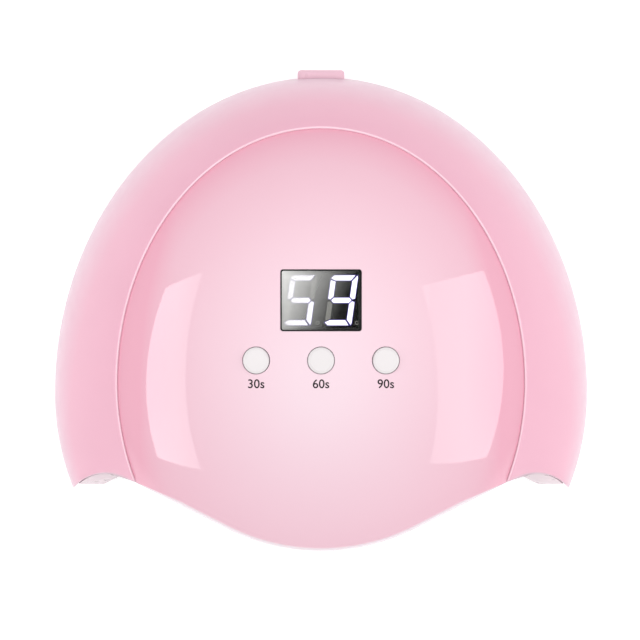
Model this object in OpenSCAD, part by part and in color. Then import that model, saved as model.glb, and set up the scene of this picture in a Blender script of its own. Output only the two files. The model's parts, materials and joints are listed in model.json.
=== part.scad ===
// UV LED nail lamp: a domed hand lamp with a front opening, a timer panel and 18 emitters.
// Origin: on the table, under the middle of the lamp. +Y is the back, the opening faces -Y.

/* [Rim outline] */
// Half the width across the widest line of the rim
rim_half_w = 92.1; // [90:0.1:94]
// Y of the centre of the rim's outline
rim_y = -28.6; // [-30:0.1:-27]
// Reach of the rim's outline behind its centre
rim_back = 109.2; // [107:0.1:111]
// Reach of the rim's outline in front of its centre
rim_front = 90.6; // [89:0.1:92]
// Height of the widest line of the rim
waist_z = 12; // [10:0.5:14]
// How far the rim tucks in below its widest line
tuck = 1.6; // [1:0.1:2]

/* [Top panel outline] */
// Half the width of the top panel
panel_half_w = 70; // [69:0.1:71]
// Y of the centre of the panel's outline
panel_y = -25.2; // [-26:0.1:-24]
// Reach of the panel behind its centre
panel_back = 87.5; // [86:0.1:89]
// Reach of the panel's side curve in front of its centre
panel_front = 82.7; // [82:0.1:84]
// How far the rim stands above the panel at their joint
rim_step = 1.6; // [1:0.1:2]

/* [Dome] */
// Height of the crown above the table
crown_z = 76; // [75:0.5:78]
// Y of the crown
dome_y = -7; // [-8:0.5:-6]
// Half-axes of the dome's ellipsoid
dome_axes = [92, 95, 62];

/* [Front edge] */
// Radius of the visor's front edge
visor_r = 71.5; // [71:0.1:72]
// Y of the centre of the visor's edge
visor_y = -11.5; // [-12:0.1:-11]
// Radius of the scoop in the edge above each front foot
scoop_r = 15; // [14.5:0.1:15.5]
// X of the scoop's centre
scoop_x = 74; // [73.5:0.1:74.5]
// Y of the scoop's centre
scoop_y = -71.1; // [-71.5:0.1:-70.5]

/* [Walls] */
// Thickness of the rim's wall
rim_t = 2.2; // [2:0.1:2.4]
// Thickness of the top panel
panel_t = 2.2; // [2:0.1:2.4]
// Thickness of the inner liner
liner_t = 1.6; // [1.4:0.1:1.8]
// Width of the ledge that carries the panel
ledge_w = 5; // [4:0.5:6]

/* [Hand bay] */
// Height of the liner's roof above the table
roof_z = 54.5; // [54:0.5:55]
// Depth of the lip at the visor, panel and liner together
lip_t = 4.2; // [4.1:0.1:4.4]
// Half the width of the bay at the table
bay_half_w = 81.5; // [80:0.1:82]
// Reach of the bay behind the rim's centre, at the table
bay_back = 88; // [86:0.5:90]

/* [Display and buttons] */
// Size of the display window
lens_size = [27.8, 21.1];
// Y of the middle of the display window
lens_y = 3.3; // [3:0.1:3.6]
// Radius of a button cap
button_r = 4.7; // [4.6:0.1:4.8]
// Distance between button centres
button_pitch = 22.2; // [22:0.1:22.4]
// Y of the row of buttons
button_y = -17.3; // [-17.5:0.1:-17]
// How far a button travels
button_travel = 0.5; // [0.3:0.1:0.5]

/* [Underside] */
// Height of the rubber feet below the base ring
foot_drop = 1.5; // [1:0.1:2]
// Thickness of the base ring
ring_t = 2; // [1.8:0.1:2.2]

/* [Power socket] */
// Height of the power socket's axis
jack_z = 12.6; // [12:0.1:13]
// Radius of the power socket's centre pin
jack_pin_r = 1.05; // [1:0.05:1.05]

/* [Hidden] */
$fn = 96;

// Columns and rows of the swept skins
skin_columns = 60;
curve_steps = 8;
wall_rows = 6;
roof_rows = 6;
front_columns = 28;
// Clearance between covers that meet
gap = 0.15;
// Slope of the rim where it meets the panel, in degrees
slope = 35;
// Clear of the whole lamp, for shapes that cut right through
far = 200;
cut_low_z = 50;
cut_high_z = 90;
band_w = rim_half_w - panel_half_w;
dome_z = crown_z - dome_axes.z;
rim_bottom_z = foot_drop + 0.3;
ring_top_z = foot_drop + ring_t;
ledge_t = 1.6;
ledge_root = 1.5;
skirt_z = 6;
skirt_tuck = tuck * 0.3;

// Angle of the straight parts of the front edge, from the line that touches visor and scoop
visor_turn = asin((visor_r + scoop_r) / norm([scoop_x, scoop_y - visor_y]))
    + atan2(scoop_y - visor_y, scoop_x);
visor_side_x = visor_r * sin(visor_turn);
visor_side_y = visor_y - visor_r * cos(visor_turn);
scoop_start_x = scoop_x - scoop_r * sin(visor_turn);

// Bay: ovals of the liner at the table and at its shoulder
bay_turn = 23;
bay_front = 80;
shoulder_half_w = 74.6;
shoulder_y = -27;
shoulder_back = 81;
shoulder_front = 76;
bay_crown = [0, -15];
front_inset = 1.7;
lip_drop = 1;
lip_drop_x = 44;
lip_drop_w = 12;
wall_lean = 2.4;
roof_round = 4;

// Electronics stack, measured down from the display's face
display_size = [25, 19, 8];
display_top_z = 71.7;
board_size = [66, 44];
board_t = 1.6;
board_y = -4;
board_z = display_top_z - display_size.z - board_t;
switch_size = [6, 6, 3.5];
plunger_r = 1.75;
plunger_h = 3;
plunger_top_z = board_z + board_t + 5;
cap_under_z = plunger_top_z + 0.02;
cap_proud = 0.45;
flange_t = 0.8;
flange_r = 6.1;
guide_z = cap_under_z + flange_t + 0.1;
guide_r = 6.4;
hole_r = button_r + 0.35;
button_xs = [-button_pitch, 0, button_pitch];
board_hole_spots = [[-29, 13], [29, 13], [-30.4, -21.5], [30.4, -21.5]];

function mix(a, b, t) = a + (b - a) * t;
function unit(v) = v / norm(v);
function flat(list) = [for (group = list, item = group) item];

// Points of a cubic curve with four control points
function curve(p, t) = pow(1 - t, 3) * p[0] + 3 * pow(1 - t, 2) * t * p[1]
    + 3 * (1 - t) * pow(t, 2) * p[2] + pow(t, 3) * p[3];

// A point on the family of ovals: s is 0 on the rim's outline and 1 on the panel's edge
function oval(angle, s) =
    let (reach = sin(angle) > 0 ? mix(rim_back, panel_back, s) : mix(rim_front, panel_front, s))
    [mix(rim_half_w, panel_half_w, s) * cos(angle), mix(rim_y, panel_y, s) + reach * sin(angle)];

// Height of the dome above a point, or of the surface a depth t under its skin
function dome(p, t = 0) =
    let (a = dome_axes - [t, t, t])
    dome_z + a.z * sqrt(1 - pow(p.x / a.x, 2) - pow((p.y - dome_y) / a.y, 2));

// Y of the front edge, seen from above, at a distance x from the middle
function front_y(x) =
    abs(x) < visor_side_x ? visor_y - sqrt(pow(visor_r, 2) - pow(x, 2))
    : abs(x) < scoop_start_x ? visor_side_y + (abs(x) - visor_side_x) * tan(visor_turn)
    : scoop_y + sqrt(max(0, pow(scoop_r, 2) - pow(abs(x) - scoop_x, 2)));

// The angle at which an oval of the rim meets the front edge, found by halving
function end_angle(s, low = -50, high = 0, steps = 16) =
    let (middle = (low + high) / 2, p = oval(middle, s))
    steps == 0 ? middle
    : p.y > front_y(p.x) ? end_angle(s, low, middle, steps - 1)
    : end_angle(s, middle, high, steps - 1);

// ---- Rim: each column is a closed profile of [inward distance, height] points ----

function rim_curve(top_z, offset) =
    let (fall = band_w / 2 * tan(slope), n = offset * [sin(slope), -cos(slope)])
    [[offset, waist_z], [offset, mix(waist_z, top_z, 0.45)],
     [band_w / 2, top_z - fall] + n, [band_w, top_z] + n];

// Where column k, counted round the rim from the right foot to the left, crosses an oval
function rim_spot(k, d) =
    let (s = d / band_w, start = end_angle(s)) oval(mix(start, 180 - start, k / skin_columns), s);

function rim_place(k, q) = let (p = rim_spot(k, q[0])) [p.x, p.y, q[1]];
function ledge_z(k, d) = dome(rim_spot(k, d), panel_t + gap);
function rim_top_z(k) = dome(rim_spot(k, band_w)) + rim_step;

function rim_outside(k) =
    let (skin = rim_curve(rim_top_z(k), 0))
    concat([[tuck, rim_bottom_z], [skirt_tuck, skirt_z]],
        [for (i = [0:curve_steps]) curve(skin, i / curve_steps)],
        [[band_w, ledge_z(k, band_w)], [band_w + ledge_w, ledge_z(k, band_w + ledge_w)]]);

function rim_inside(k) =
    let (skin = rim_curve(rim_top_z(k), rim_t), reach = 0.75)
    concat([[tuck + rim_t, rim_bottom_z], [skirt_tuck + rim_t, skirt_z]],
        [for (i = [0:curve_steps]) curve(skin, reach * i / curve_steps)],
        [[band_w - ledge_root, ledge_z(k, band_w - ledge_root) - ledge_t],
         [band_w + ledge_w, ledge_z(k, band_w + ledge_w) - ledge_t]]);

function reversed(list) = [for (i = [len(list) - 1:-1:0]) list[i]];

// Two triangles for the four corners of a patch
function patch(a, b, c, d) = [[a, b, c], [a, c, d]];

// A skin swept through equal closed loops, its two ends closed by strips across each loop
module swept_skin(loops) {
    n = len(loops[0]);
    last = len(loops) - 1;
    sides = flat([for (k = [0:last - 1], j = [0:n - 1])
        patch(k * n + j, k * n + (j + 1) % n, (k + 1) * n + (j + 1) % n, (k + 1) * n + j)]);
    first_end = flat([for (j = [0:n / 2 - 2]) patch(j, n - 1 - j, n - 2 - j, j + 1)]);
    last_end = flat([for (j = [0:n / 2 - 2])
        patch(last * n + j, last * n + j + 1, last * n + n - 2 - j, last * n + n - 1 - j)]);
    polyhedron(flat(loops), concat(sides, first_end, last_end));
}

module rim_skin()
    swept_skin([for (k = [0:skin_columns])
        [for (q = concat(rim_outside(k), reversed(rim_inside(k)))) rim_place(k, q)]]);

// ---- Screws and their bosses ----

// Spots on the base for the screws that go up into the rim's bosses
rim_screw_angles = [10, 35, 62, 118, 145, 170];
rim_boss_r = 2.3;
rim_boss_in = 6.2;
rim_boss_top_z = 17;
boss_rib = [4.6, 1.4];
screw_r = 0.95;
screw_hole_h = 14;
rim_screw_spots = [for (a = rim_screw_angles) oval(a, rim_boss_in / band_w)];
liner_screw_spots = [[-24, 66], [24, 66]];
screw_head_r = 1.85;
screw_len = 9;
screw_spots = concat(rim_screw_spots, liner_screw_spots);

// A screw boss with a rib that ties it to the rim's wall
module rim_boss(angle, h) {
    p = oval(angle, rim_boss_in / band_w);
    out = oval(angle, 0) - p;
    translate([p.x, p.y, ring_top_z + gap]) {
        cylinder(r = rim_boss_r, h = h);
        rotate(atan2(out.y, out.x)) translate([0, -boss_rib.y / 2, 0])
            cube([boss_rib.x, boss_rib.y, h]);
    }
}

module rim_housing()
    color([0.96, 0.74, 0.82]) difference() {
        union() {
            rim_skin();
            for (a = rim_screw_angles) rim_boss(a, rim_boss_top_z - ring_top_z - gap);
        }
        for (p = rim_screw_spots) translate([p.x, p.y, 0]) cylinder(r = screw_r, h = screw_hole_h);
        jack_window(gap);
    }

// ---- Top panel ----

module half_ovals(half_w, back, front) {
    intersection() {
        scale([half_w, back]) circle(r = 1, $fn = 240);
        translate([-far / 2, 0]) square(far);
    }
    intersection() {
        scale([half_w, front]) circle(r = 1, $fn = 240);
        translate([-far / 2, -far]) square(far);
    }
}

module behind_front_edge() {
    side_x = 76;
    side_y = visor_side_y + (side_x - visor_side_x) * tan(visor_turn);
    translate([0, visor_y]) circle(r = visor_r, $fn = 240);
    polygon([[-side_x, far], [-side_x, side_y], [-visor_side_x, visor_side_y],
        [visor_side_x, visor_side_y], [side_x, side_y], [side_x, far]]);
}

module dome_solid(t = 0)
    translate([0, dome_y, dome_z]) scale(dome_axes - [t, t, t]) rotate([90, 0, 0])
        sphere(r = 1, $fn = 180);

module panel_outline()
    intersection() {
        translate([0, panel_y]) half_ovals(panel_half_w - gap, panel_back - gap, panel_front);
        behind_front_edge();
    }

module rounded_slab(size, r, h)
    linear_extrude(h) {
        square([size.x - 2 * r, size.y], center = true);
        square([size.x, size.y - 2 * r], center = true);
        for (x = [-1, 1], y = [-1, 1])
            translate([x * (size.x / 2 - r), y * (size.y / 2 - r)]) circle(r = r, $fn = 32);
    }

lens_t = 1.2;
tape_t = 0.2;
seat_w = 1.1;
lens_gap = 0.12;
lens_corner_r = 0.9;
least_corner_r = 0.3;
panel_boss_r = 2.6;
panel_boss_depth = 1.3;
guide_depth = 0.4;
board_screw_r = 0.83;
board_screw_h = 6;

// A block with the window's outline, right through the dome
module lens_block(grow)
    translate([0, lens_y, cut_low_z])
        rounded_slab(lens_size + [2 * grow, 2 * grow], max(least_corner_r, lens_corner_r + grow),
            cut_high_z - cut_low_z);

module top_panel()
    color([0.97, 0.8, 0.86]) difference() {
        union() {
            intersection() {
                linear_extrude(crown_z + 1) panel_outline();
                difference() {
                    dome_solid();
                    dome_solid(panel_t);
                }
            }
            for (x = button_xs) translate([x, button_y, guide_z])
                cylinder(r = guide_r, h = dome([abs(x) + guide_r, button_y], guide_depth) - guide_z);
            for (p = board_hole_spots) translate([p.x, p.y, board_z + board_t])
                cylinder(r = panel_boss_r, h = dome(p) - panel_boss_depth - board_z - board_t);
        }
        for (x = button_xs) translate([x, button_y, cut_low_z])
            cylinder(r = hole_r, h = cut_high_z - cut_low_z);
        for (p = board_hole_spots) translate([p.x, p.y, board_z])
            cylinder(r = board_screw_r + 0.02, h = board_screw_h + 0.5);
        lens_block(-seat_w);
        difference() {
            lens_block(lens_gap);
            dome_solid(lens_t + tape_t);
        }
    }

module display_lens()
    color([0.07, 0.07, 0.08]) intersection() {
        lens_block(0);
        difference() {
            dome_solid(0.05);
            dome_solid(lens_t);
        }
    }

module lens_tape()
    color([0.15, 0.15, 0.15]) difference() {
        intersection() {
            lens_block(-0.1);
            difference() {
                dome_solid(lens_t);
                dome_solid(lens_t + tape_t);
            }
        }
        lens_block(-seat_w);
    }

// ---- Inner liner: a wall round the sides and back, and a roof that runs to the visor ----

function bay_oval(angle, half_w, y, back, front) =
    [half_w * cos(angle), y + (sin(angle) > 0 ? back : front) * sin(angle)];

function shoulder(angle) =
    bay_oval(angle, shoulder_half_w, shoulder_y, shoulder_back, shoulder_front);

// Depth of the bay's skin under the dome along the visor, deeper at the sides to pass the ledge
function lip_depth(x) = lip_t + lip_drop * min(1, max(0, (abs(x) - lip_drop_x) / lip_drop_w));

shoulder_z = dome(shoulder(-bay_turn), lip_depth(bay_half_w));
wall_z = ring_top_z + 0.1;

// Bay side of the wall: m is 0 at the base ring and 1 at the shoulder
function wall_point(angle, m) =
    let (low = bay_oval(angle, bay_half_w, rim_y, bay_back, bay_front),
         p = mix(low, shoulder(angle), pow(m, wall_lean)))
    [p.x, p.y, mix(wall_z, shoulder_z, m)];

// Where the roof starts: on the shoulder, or just behind the visor's edge
function roof_start(k) =
    k <= skin_columns
    ? let (p = shoulder(mix(-bay_turn, 180 + bay_turn, k / skin_columns))) [p.x, p.y, shoulder_z]
    : let (corner = shoulder(-bay_turn),
           x = -corner.x * cos(180 * (k - skin_columns) / front_columns),
           y = front_y(x) + mix(front_inset, corner.y - front_y(corner.x), pow(abs(x) / corner.x, 6)))
      [x, y, dome([x, y], lip_depth(x))];

// Bay side of the roof: w is 0 at its start and 1 over the middle of the bay
function roof_from(start, w) =
    let (p = mix([start.x, start.y], bay_crown, w))
    [p.x, p.y, mix(start.z, roof_z, 1 - pow(1 - w, roof_round))];

// The liner's outer side lies a wall's thickness further from the middle of the bay, square to
// an ellipsoid that is close to the bay's shape
bay_middle = [0, -28, 2];
bay_axes = [80, 86, 53];
bay_front_axis = 110;
function outward(p) =
    let (d = p - bay_middle)
    unit([d.x / pow(bay_axes.x, 2), d.y / pow(d.y > 0 ? bay_axes.y : bay_front_axis, 2),
        d.z / pow(bay_axes.z, 2)]);
function shell_side(p) = p + liner_t * outward(p);

module liner_skin() {
    n = skin_columns + front_columns;
    m = skin_columns + 1;
    roof = [for (r = [0:roof_rows - 1], k = [0:n - 1])
        roof_from(roof_start(k), 1 - pow(1 - r / roof_rows, 1.3))];
    wall = [for (r = [wall_rows - 1:-1:0], k = [0:skin_columns])
        wall_point(mix(-bay_turn, 180 + bay_turn, k / skin_columns), r / wall_rows)];
    crown = [bay_crown.x, bay_crown.y, roof_z];
    inner = concat(roof, wall, [crown]);
    points = concat(inner, [for (p = inner) shell_side(p)]);
    half = len(inner);
    wall_start = n * roof_rows;
    // Index of a wall vertex: row 0 is the shoulder, which the roof owns
    function wall_at(row, k) = row == 0 ? k : wall_start + (row - 1) * m + k;
    bay_faces = flat(concat(
        [for (r = [0:roof_rows - 2], k = [0:n - 1])
            patch(r * n + k, (r + 1) * n + k, (r + 1) * n + (k + 1) % n, r * n + (k + 1) % n)],
        [for (k = [0:n - 1])
            [[(roof_rows - 1) * n + k, half - 1, (roof_rows - 1) * n + (k + 1) % n]]],
        [for (r = [0:wall_rows - 1], k = [0:skin_columns - 1])
            patch(wall_at(r + 1, k), wall_at(r, k), wall_at(r, k + 1), wall_at(r + 1, k + 1))]));
    rim = concat([for (k = [0:skin_columns]) wall_at(wall_rows, k)],
        [for (r = [wall_rows - 1:-1:1]) wall_at(r, skin_columns)],
        [for (k = [skin_columns:n - 1]) k], [0],
        [for (r = [1:wall_rows - 1]) wall_at(r, 0)]);
    edge = flat([for (i = [0:len(rim) - 1])
        let (a = rim[i], b = rim[(i + 1) % len(rim)]) patch(a + half, b + half, b, a)]);
    polyhedron(points, concat([for (f = bay_faces) [f[0], f[2], f[1]]],
        [for (f = bay_faces) f + [half, half, half]], edge));
}

// The flange that closes the front of each hollow pillar, from the bay's edge to the rim
module pillar_flange() {
    clearance = 0.35;
    rows = 6;
    low = wall_z;
    high = shoulder_z + 1;
    profile = rim_inside(0);
    function rim_at(z, i = 1) =
        profile[i + 1][1] > z || i > 7 ? let (t = (z - profile[i][1]) / (profile[i + 1][1] - profile[i][1]))
            rim_place(0, mix(profile[i], profile[i + 1], t)) : rim_at(z, i + 1);
    loops = [for (r = [0:rows])
        let (z = mix(low, high, r / rows), m = min(1, (z - wall_z) / (shoulder_z - wall_z)),
             a = wall_point(-bay_turn, m), b = rim_at(z), front = [0, -0.5, 0], t = [0, liner_t, 0],
             in_end = [a.x, a.y, z] + front, out_end = [b.x - clearance, b.y, z] + [0, 0.3, 0])
        [in_end, in_end + t, out_end + t, out_end]];
    swept_skin(loops);
}

liner_boss_r = 3;
liner_boss_h = 12;
liner_rib = [1.6, 9.6, 9];

module inner_liner()
    color([0.93, 0.92, 0.92]) difference() {
        union() {
            liner_skin();
            pillar_flange();
            mirror([1, 0, 0]) pillar_flange();
            for (p = liner_screw_spots) {
                translate([p.x, p.y, ring_top_z + gap]) cylinder(r = liner_boss_r, h = liner_boss_h);
                translate([p.x - liner_rib.x / 2, p.y - liner_rib.y, ring_top_z + gap])
                    cube(liner_rib);
            }
        }
        for (p = liner_screw_spots) translate([p.x, p.y, 0]) cylinder(r = screw_r, h = screw_hole_h);
        for (f = led_frames) multmatrix(f) translate([0, 0, -3]) cylinder(r = cup_r + 0.1, h = 7);
        for (x = [-1, 1]) translate([x * bulb_x, sensor_y, cut_low_z]) cylinder(r = bulb_r + 0.3, h = 10);
    }

// ---- Emitters, placed by frames that stand on the liner with Z pointing into the lamp's wall ----

cup_r = 3.6;
led_board_size = [11, 9, 1.2];
led_back = 2.6;
led_body_r = 2.7;
led_body_h = 1.2;
led_lens_r = 2.4;
lead_hole_r = 0.8;
lead_hole_y = 2.9;
wall_leds = [-10, 0, 28, 38, 63, 73, 107, 117, 142, 152, 180, 190];
wall_led_m = 0.55;
roof_leds = [20, 36, 144, 160];
roof_led_w = 0.42;
front_leds = [-7, 7];
front_led_w = 0.4;

function frame_at(p, du, dv) =
    let (x = unit(du), n = unit(cross(du, dv)), y = cross(n, x))
    [[x.x, y.x, n.x, p.x], [x.y, y.y, n.y, p.y], [x.z, y.z, n.z, p.z], [0, 0, 0, 1]];

function wall_frame(angle, m) =
    frame_at(wall_point(angle, m), wall_point(angle - 1, m) - wall_point(angle + 1, m),
        wall_point(angle, m - 0.02) - wall_point(angle, m + 0.02));

function roof_at(angle, w) = let (p = shoulder(angle)) roof_from([p.x, p.y, shoulder_z], w);

function roof_frame(angle, w) =
    frame_at(roof_at(angle, w), roof_at(angle - 1, w) - roof_at(angle + 1, w),
        roof_at(angle, w - 0.02) - roof_at(angle, w + 0.02));

function front_roof(x, w) =
    let (y = front_y(x) + front_inset) roof_from([x, y, dome([x, y], lip_depth(x))], w);

function front_frame(x, w) =
    frame_at(front_roof(x, w), front_roof(x - 1, w) - front_roof(x + 1, w),
        front_roof(x, w - 0.02) - front_roof(x, w + 0.02));

led_frames = concat([for (a = wall_leds) wall_frame(a, wall_led_m)],
    [for (a = roof_leds) roof_frame(a, roof_led_w)], [for (x = front_leds) front_frame(x, front_led_w)]);

module led_boards()
    color([0.85, 0.86, 0.88]) for (f = led_frames) multmatrix(f)
        translate([0, 0, led_back]) difference() {
            translate([-led_board_size.x / 2, -led_board_size.y / 2, 0]) cube(led_board_size);
            for (y = [-1, 1]) translate([0, y * lead_hole_y, -1]) cylinder(r = lead_hole_r, h = 4);
        }

module led_packages()
    color([0.96, 0.95, 0.9]) for (f = led_frames) multmatrix(f)
        translate([0, 0, led_back - led_body_h]) cylinder(r = led_body_r, h = led_body_h - 0.02);

module led_lenses()
    color([0.85, 0.85, 0.98, 0.6]) for (f = led_frames) multmatrix(f)
        translate([0, 0, led_back - led_body_h - 0.02]) mirror([0, 0, 1]) rotate_extrude()
            intersection() {
                translate([0, -0.5]) circle(r = led_lens_r);
                square(led_lens_r);
            }

module reflector_cups()
    color([0.85, 0.86, 0.88]) for (f = led_frames) multmatrix(f)
        rotate_extrude() polygon([[cup_r, led_back - 0.05], [3, led_back - 0.05], [3, 1.3],
            [3.4, -0.75], [4.6, -0.75], [4.6, -0.35], [cup_r, -0.35]]);

// ---- Base ring, screws and feet ----

// Angle by which the ring's ends stay behind the rim's
ring_inset = 0.6;

module ring_outline() {
    outer = [for (i = [0:skin_columns])
        let (s = (tuck + rim_t + 0.2) / band_w, start = end_angle(s) + ring_inset)
        oval(mix(start, 180 - start, i / skin_columns), s)];
    inner = [for (i = [0:skin_columns])
        bay_oval(mix(180 + bay_turn + 0.2, -bay_turn - 0.2, i / skin_columns),
            bay_half_w, rim_y, bay_back, bay_front)];
    polygon(concat(outer, inner));
}

foot_seat = 0.5;
foot_r = 2.4;
foot_len = 9;
foot_in = 7.2;
foot_angles = [-13, 50, 130, 193];

// The outline of a foot: a bar with round ends that follows the ring
module foot_outline(grow = 0)
    for (a = foot_angles) let (p = oval(a, foot_in / band_w), d = oval(a + 1, 0) - oval(a - 1, 0))
        translate(p) rotate(atan2(d.y, d.x)) {
            square([foot_len, 2 * (foot_r + grow)], center = true);
            for (x = [-0.5, 0.5]) translate([x * foot_len, 0]) circle(r = foot_r + grow);
        }

module base_ring()
    color([0.93, 0.92, 0.92]) difference() {
        translate([0, 0, foot_drop]) linear_extrude(ring_t) ring_outline();
        for (p = screw_spots) translate([p.x, p.y, 0]) {
            cylinder(r = screw_r + 0.2, h = screw_hole_h);
            cylinder(r = screw_head_r + 0.2, h = foot_drop + 1);
        }
        linear_extrude(foot_drop + foot_seat) foot_outline(0.05);
    }

module rubber_feet()
    color([0.75, 0.75, 0.76]) linear_extrude(foot_drop + foot_seat) foot_outline();

// Two crossed slots, cut from 1 mm below a screw's head
module cross_slot(size)
    for (a = [0, 90]) rotate(a) translate([-size.x / 2, -size.y / 2, -1]) cube(size);

module base_screws()
    color([0.7, 0.71, 0.73]) for (p = screw_spots) translate([p.x, p.y, foot_drop + 0.1]) difference() {
        union() {
            cylinder(r = screw_head_r, h = 0.9);
            cylinder(r = screw_r - 0.02, h = screw_len);
        }
        cross_slot([2.6, 0.5, 1.5]);
    }

// ---- Display ----

digit_h = 17.1;
digit_w = 9.2;
digit_lean = 8;
digit_gap = 13.9;
stroke = 1.75;
segment_t = 0.25;
point_xs = [-1.2, 11.8];
point_r = 0.7;

// One bar of a digit with pointed ends
module bar(length)
    let (half = length / 2, tip = stroke / 2)
    polygon([[-half, 0], [-half + tip, tip], [half - tip, tip], [half, 0],
        [half - tip, -tip], [-half + tip, -tip]]);

// Seven places as [x, y, turn, length], in the order a to g
function segment_places() =
    let (w = digit_w - stroke, h = (digit_h - stroke) / 2)
    [[0, h, 0, w], [w / 2, h / 2, 90, h], [w / 2, -h / 2, 90, h], [0, -h, 0, w],
     [-w / 2, -h / 2, 90, h], [-w / 2, h / 2, 90, h], [0, 0, 0, w]];

module segments(x, chosen)
    translate([x, lens_y, display_top_z])
        multmatrix([[1, tan(digit_lean), 0, 0], [0, 1, 0, 0], [0, 0, 1, 0], [0, 0, 0, 1]])
            linear_extrude(segment_t) for (i = chosen) let (p = segment_places()[i])
                translate([p[0], p[1]]) rotate(p[2]) bar(p[3] - 0.35);

module display_segments_lit()
    color([0.93, 0.9, 1]) {
        segments(-digit_gap / 2, [0, 2, 3, 5, 6]);
        segments(digit_gap / 2, [0, 1, 2, 3, 5, 6]);
    }

module display_segments_unlit()
    color([0.25, 0.25, 0.26]) {
        segments(-digit_gap / 2, [1, 4]);
        segments(digit_gap / 2, [4]);
        for (x = point_xs) translate([x, lens_y - digit_h / 2 + 0.9, display_top_z])
            cylinder(r = point_r, h = segment_t);
    }

module display_body()
    color([0.1, 0.1, 0.11])
        translate([-display_size.x / 2, lens_y - display_size.y / 2, board_z + board_t])
            cube(display_size);

pin_xs = [for (i = [-2:2]) i * 2.54];
pin_row_y = 7.6;

module display_pins()
    color([0.8, 0.8, 0.78]) for (x = pin_xs, y = [-1, 1] * pin_row_y)
        translate([x, lens_y + y, board_z - 2]) cylinder(r = 0.25, h = 2 + board_t);

// ---- Buttons and their switches ----

module button_at(x)
    color([0.96, 0.95, 0.94]) translate([x, button_y, cap_under_z]) {
        top = dome([x, button_y]) + cap_proud - cap_under_z;
        cylinder(r = flange_r, h = flange_t);
        rotate_extrude() polygon([[0, 0], [button_r, 0], [button_r, top - 0.7],
            [button_r - 0.25, top - 0.25], [button_r - 0.8, top], [button_r / 2, top + 0.2],
            [0, top + 0.27]]);
    }

module button_30s() button_at(button_xs[0]);
module button_60s() button_at(button_xs[1]);
module button_90s() button_at(button_xs[2]);

module plunger_at(x)
    color([0.12, 0.12, 0.12]) translate([x, button_y, plunger_top_z - plunger_h])
        cylinder(r = plunger_r, h = plunger_h);

module plunger_30s() plunger_at(button_xs[0]);
module plunger_60s() plunger_at(button_xs[1]);
module plunger_90s() plunger_at(button_xs[2]);

switch_cover_t = 0.3;
switch_base_h = switch_size.z - switch_cover_t;
switch_bore_r = plunger_r + 0.08;

module switch_bases()
    color([0.12, 0.12, 0.12]) for (x = button_xs) translate([x, button_y, board_z + board_t])
        difference() {
            translate([-switch_size.x / 2, -switch_size.y / 2, 0])
                cube([switch_size.x, switch_size.y, switch_base_h]);
            translate([0, 0, 2 - button_travel - 0.2]) cylinder(r = switch_bore_r, h = 4);
        }

module switch_covers()
    color([0.8, 0.8, 0.82]) for (x = button_xs)
        translate([x, button_y, board_z + board_t + switch_base_h]) difference() {
            translate([-switch_size.x / 2, -switch_size.y / 2, 0])
                cube([switch_size.x, switch_size.y, switch_cover_t]);
            translate([0, 0, -1]) cylinder(r = switch_bore_r, h = 3);
        }

// ---- Control board and what is on it ----

module on_board_underside(x, y) translate([x, y, board_z]) mirror([0, 0, 1]) children();

module control_board()
    color([0.1, 0.4, 0.2]) difference() {
        translate([0, board_y, board_z]) rounded_slab(board_size, 2, board_t);
        for (p = board_hole_spots) translate([p.x, p.y, 0]) cylinder(r = 1.2, h = 90);
        for (x = pin_xs, y = [-1, 1] * pin_row_y) translate([x, lens_y + y, board_z - 1])
            cylinder(r = 0.3, h = 4);
    }

module board_screws()
    color([0.75, 0.76, 0.78]) for (p = board_hole_spots) translate([p.x, p.y, board_z])
        difference() {
            union() {
                translate([0, 0, -1.4]) cylinder(r = 1.9, h = 1.4);
                cylinder(r = board_screw_r, h = board_screw_h);
            }
            translate([0, 0, -1]) cross_slot([2.2, 0.44, 1.3]);
        }

module mcu_chip()
    color([0.1, 0.1, 0.1]) on_board_underside(-16, -10) {
        translate([-5, -2, 0.15]) cube([10, 4, 1.5]);
        for (i = [-3.5:3.5], y = [-1, 1])
            translate([i * 1.27 - 0.2, y < 0 ? -3 : 2, 0]) cube([0.4, 1, 0.2]);
    }

module capacitors()
    color([0.15, 0.15, 0.3]) for (x = [16, 24]) on_board_underside(x, -9) {
        cylinder(r = 3.15, h = 4.6);
        translate([-3.3, -3.3, 0]) cube([6.6, 6.6, 0.6]);
    }

module power_inductor()
    color([0.2, 0.2, 0.2]) on_board_underside(6, -10) {
        translate([-3.5, -3.5, 0]) cube([7, 7, 0.8]);
        cylinder(r = 3.2, h = 3.6);
    }

module driver_transistors()
    color([0.1, 0.1, 0.1]) for (x = [-24, -18, -12]) on_board_underside(x, 3) {
        translate([-1.5, -1.2, 0.1]) cube([3, 2.4, 1.1]);
        for (q = [[-1, -2], [1, -2], [0, 1.2]]) translate([q[0] - 0.2, q[1], 0]) cube([0.4, 0.8, 0.2]);
    }

module chip_resistors()
    color([0.15, 0.15, 0.15]) for (x = [-26:3:-2], y = [-19, -15.5])
        translate([x, y, board_z - 0.5]) cube([1.6, 0.8, 0.5]);

// Headers for the power, emitter and sensor leads, along the board's back edge and its front
header_spots = [[22, 12], [-22, 12], [14, -21.5]];

module board_headers()
    color([0.93, 0.92, 0.88]) for (p = header_spots) on_board_underside(p[0], p[1])
        difference() {
            translate([-3.4, -2.4, 0]) cube([6.8, 4.8, 3.2]);
            translate([-2.6, -1.6, 1]) cube([5.2, 3.2, 4]);
        }

module wire_plugs()
    color([0.9, 0.89, 0.84]) for (p = header_spots) on_board_underside(p[0], p[1])
        translate([-2.5, -1.5, 1.2]) cube([5, 3, 3.6]);

// ---- Hand sensor ----

sensor_y = -40;
sensor_z = 58.4;
sensor_size = [18, 8, 1.2];
bulb_x = 4;
bulb_r = 1.5;
bulb_h = 3;

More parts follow.
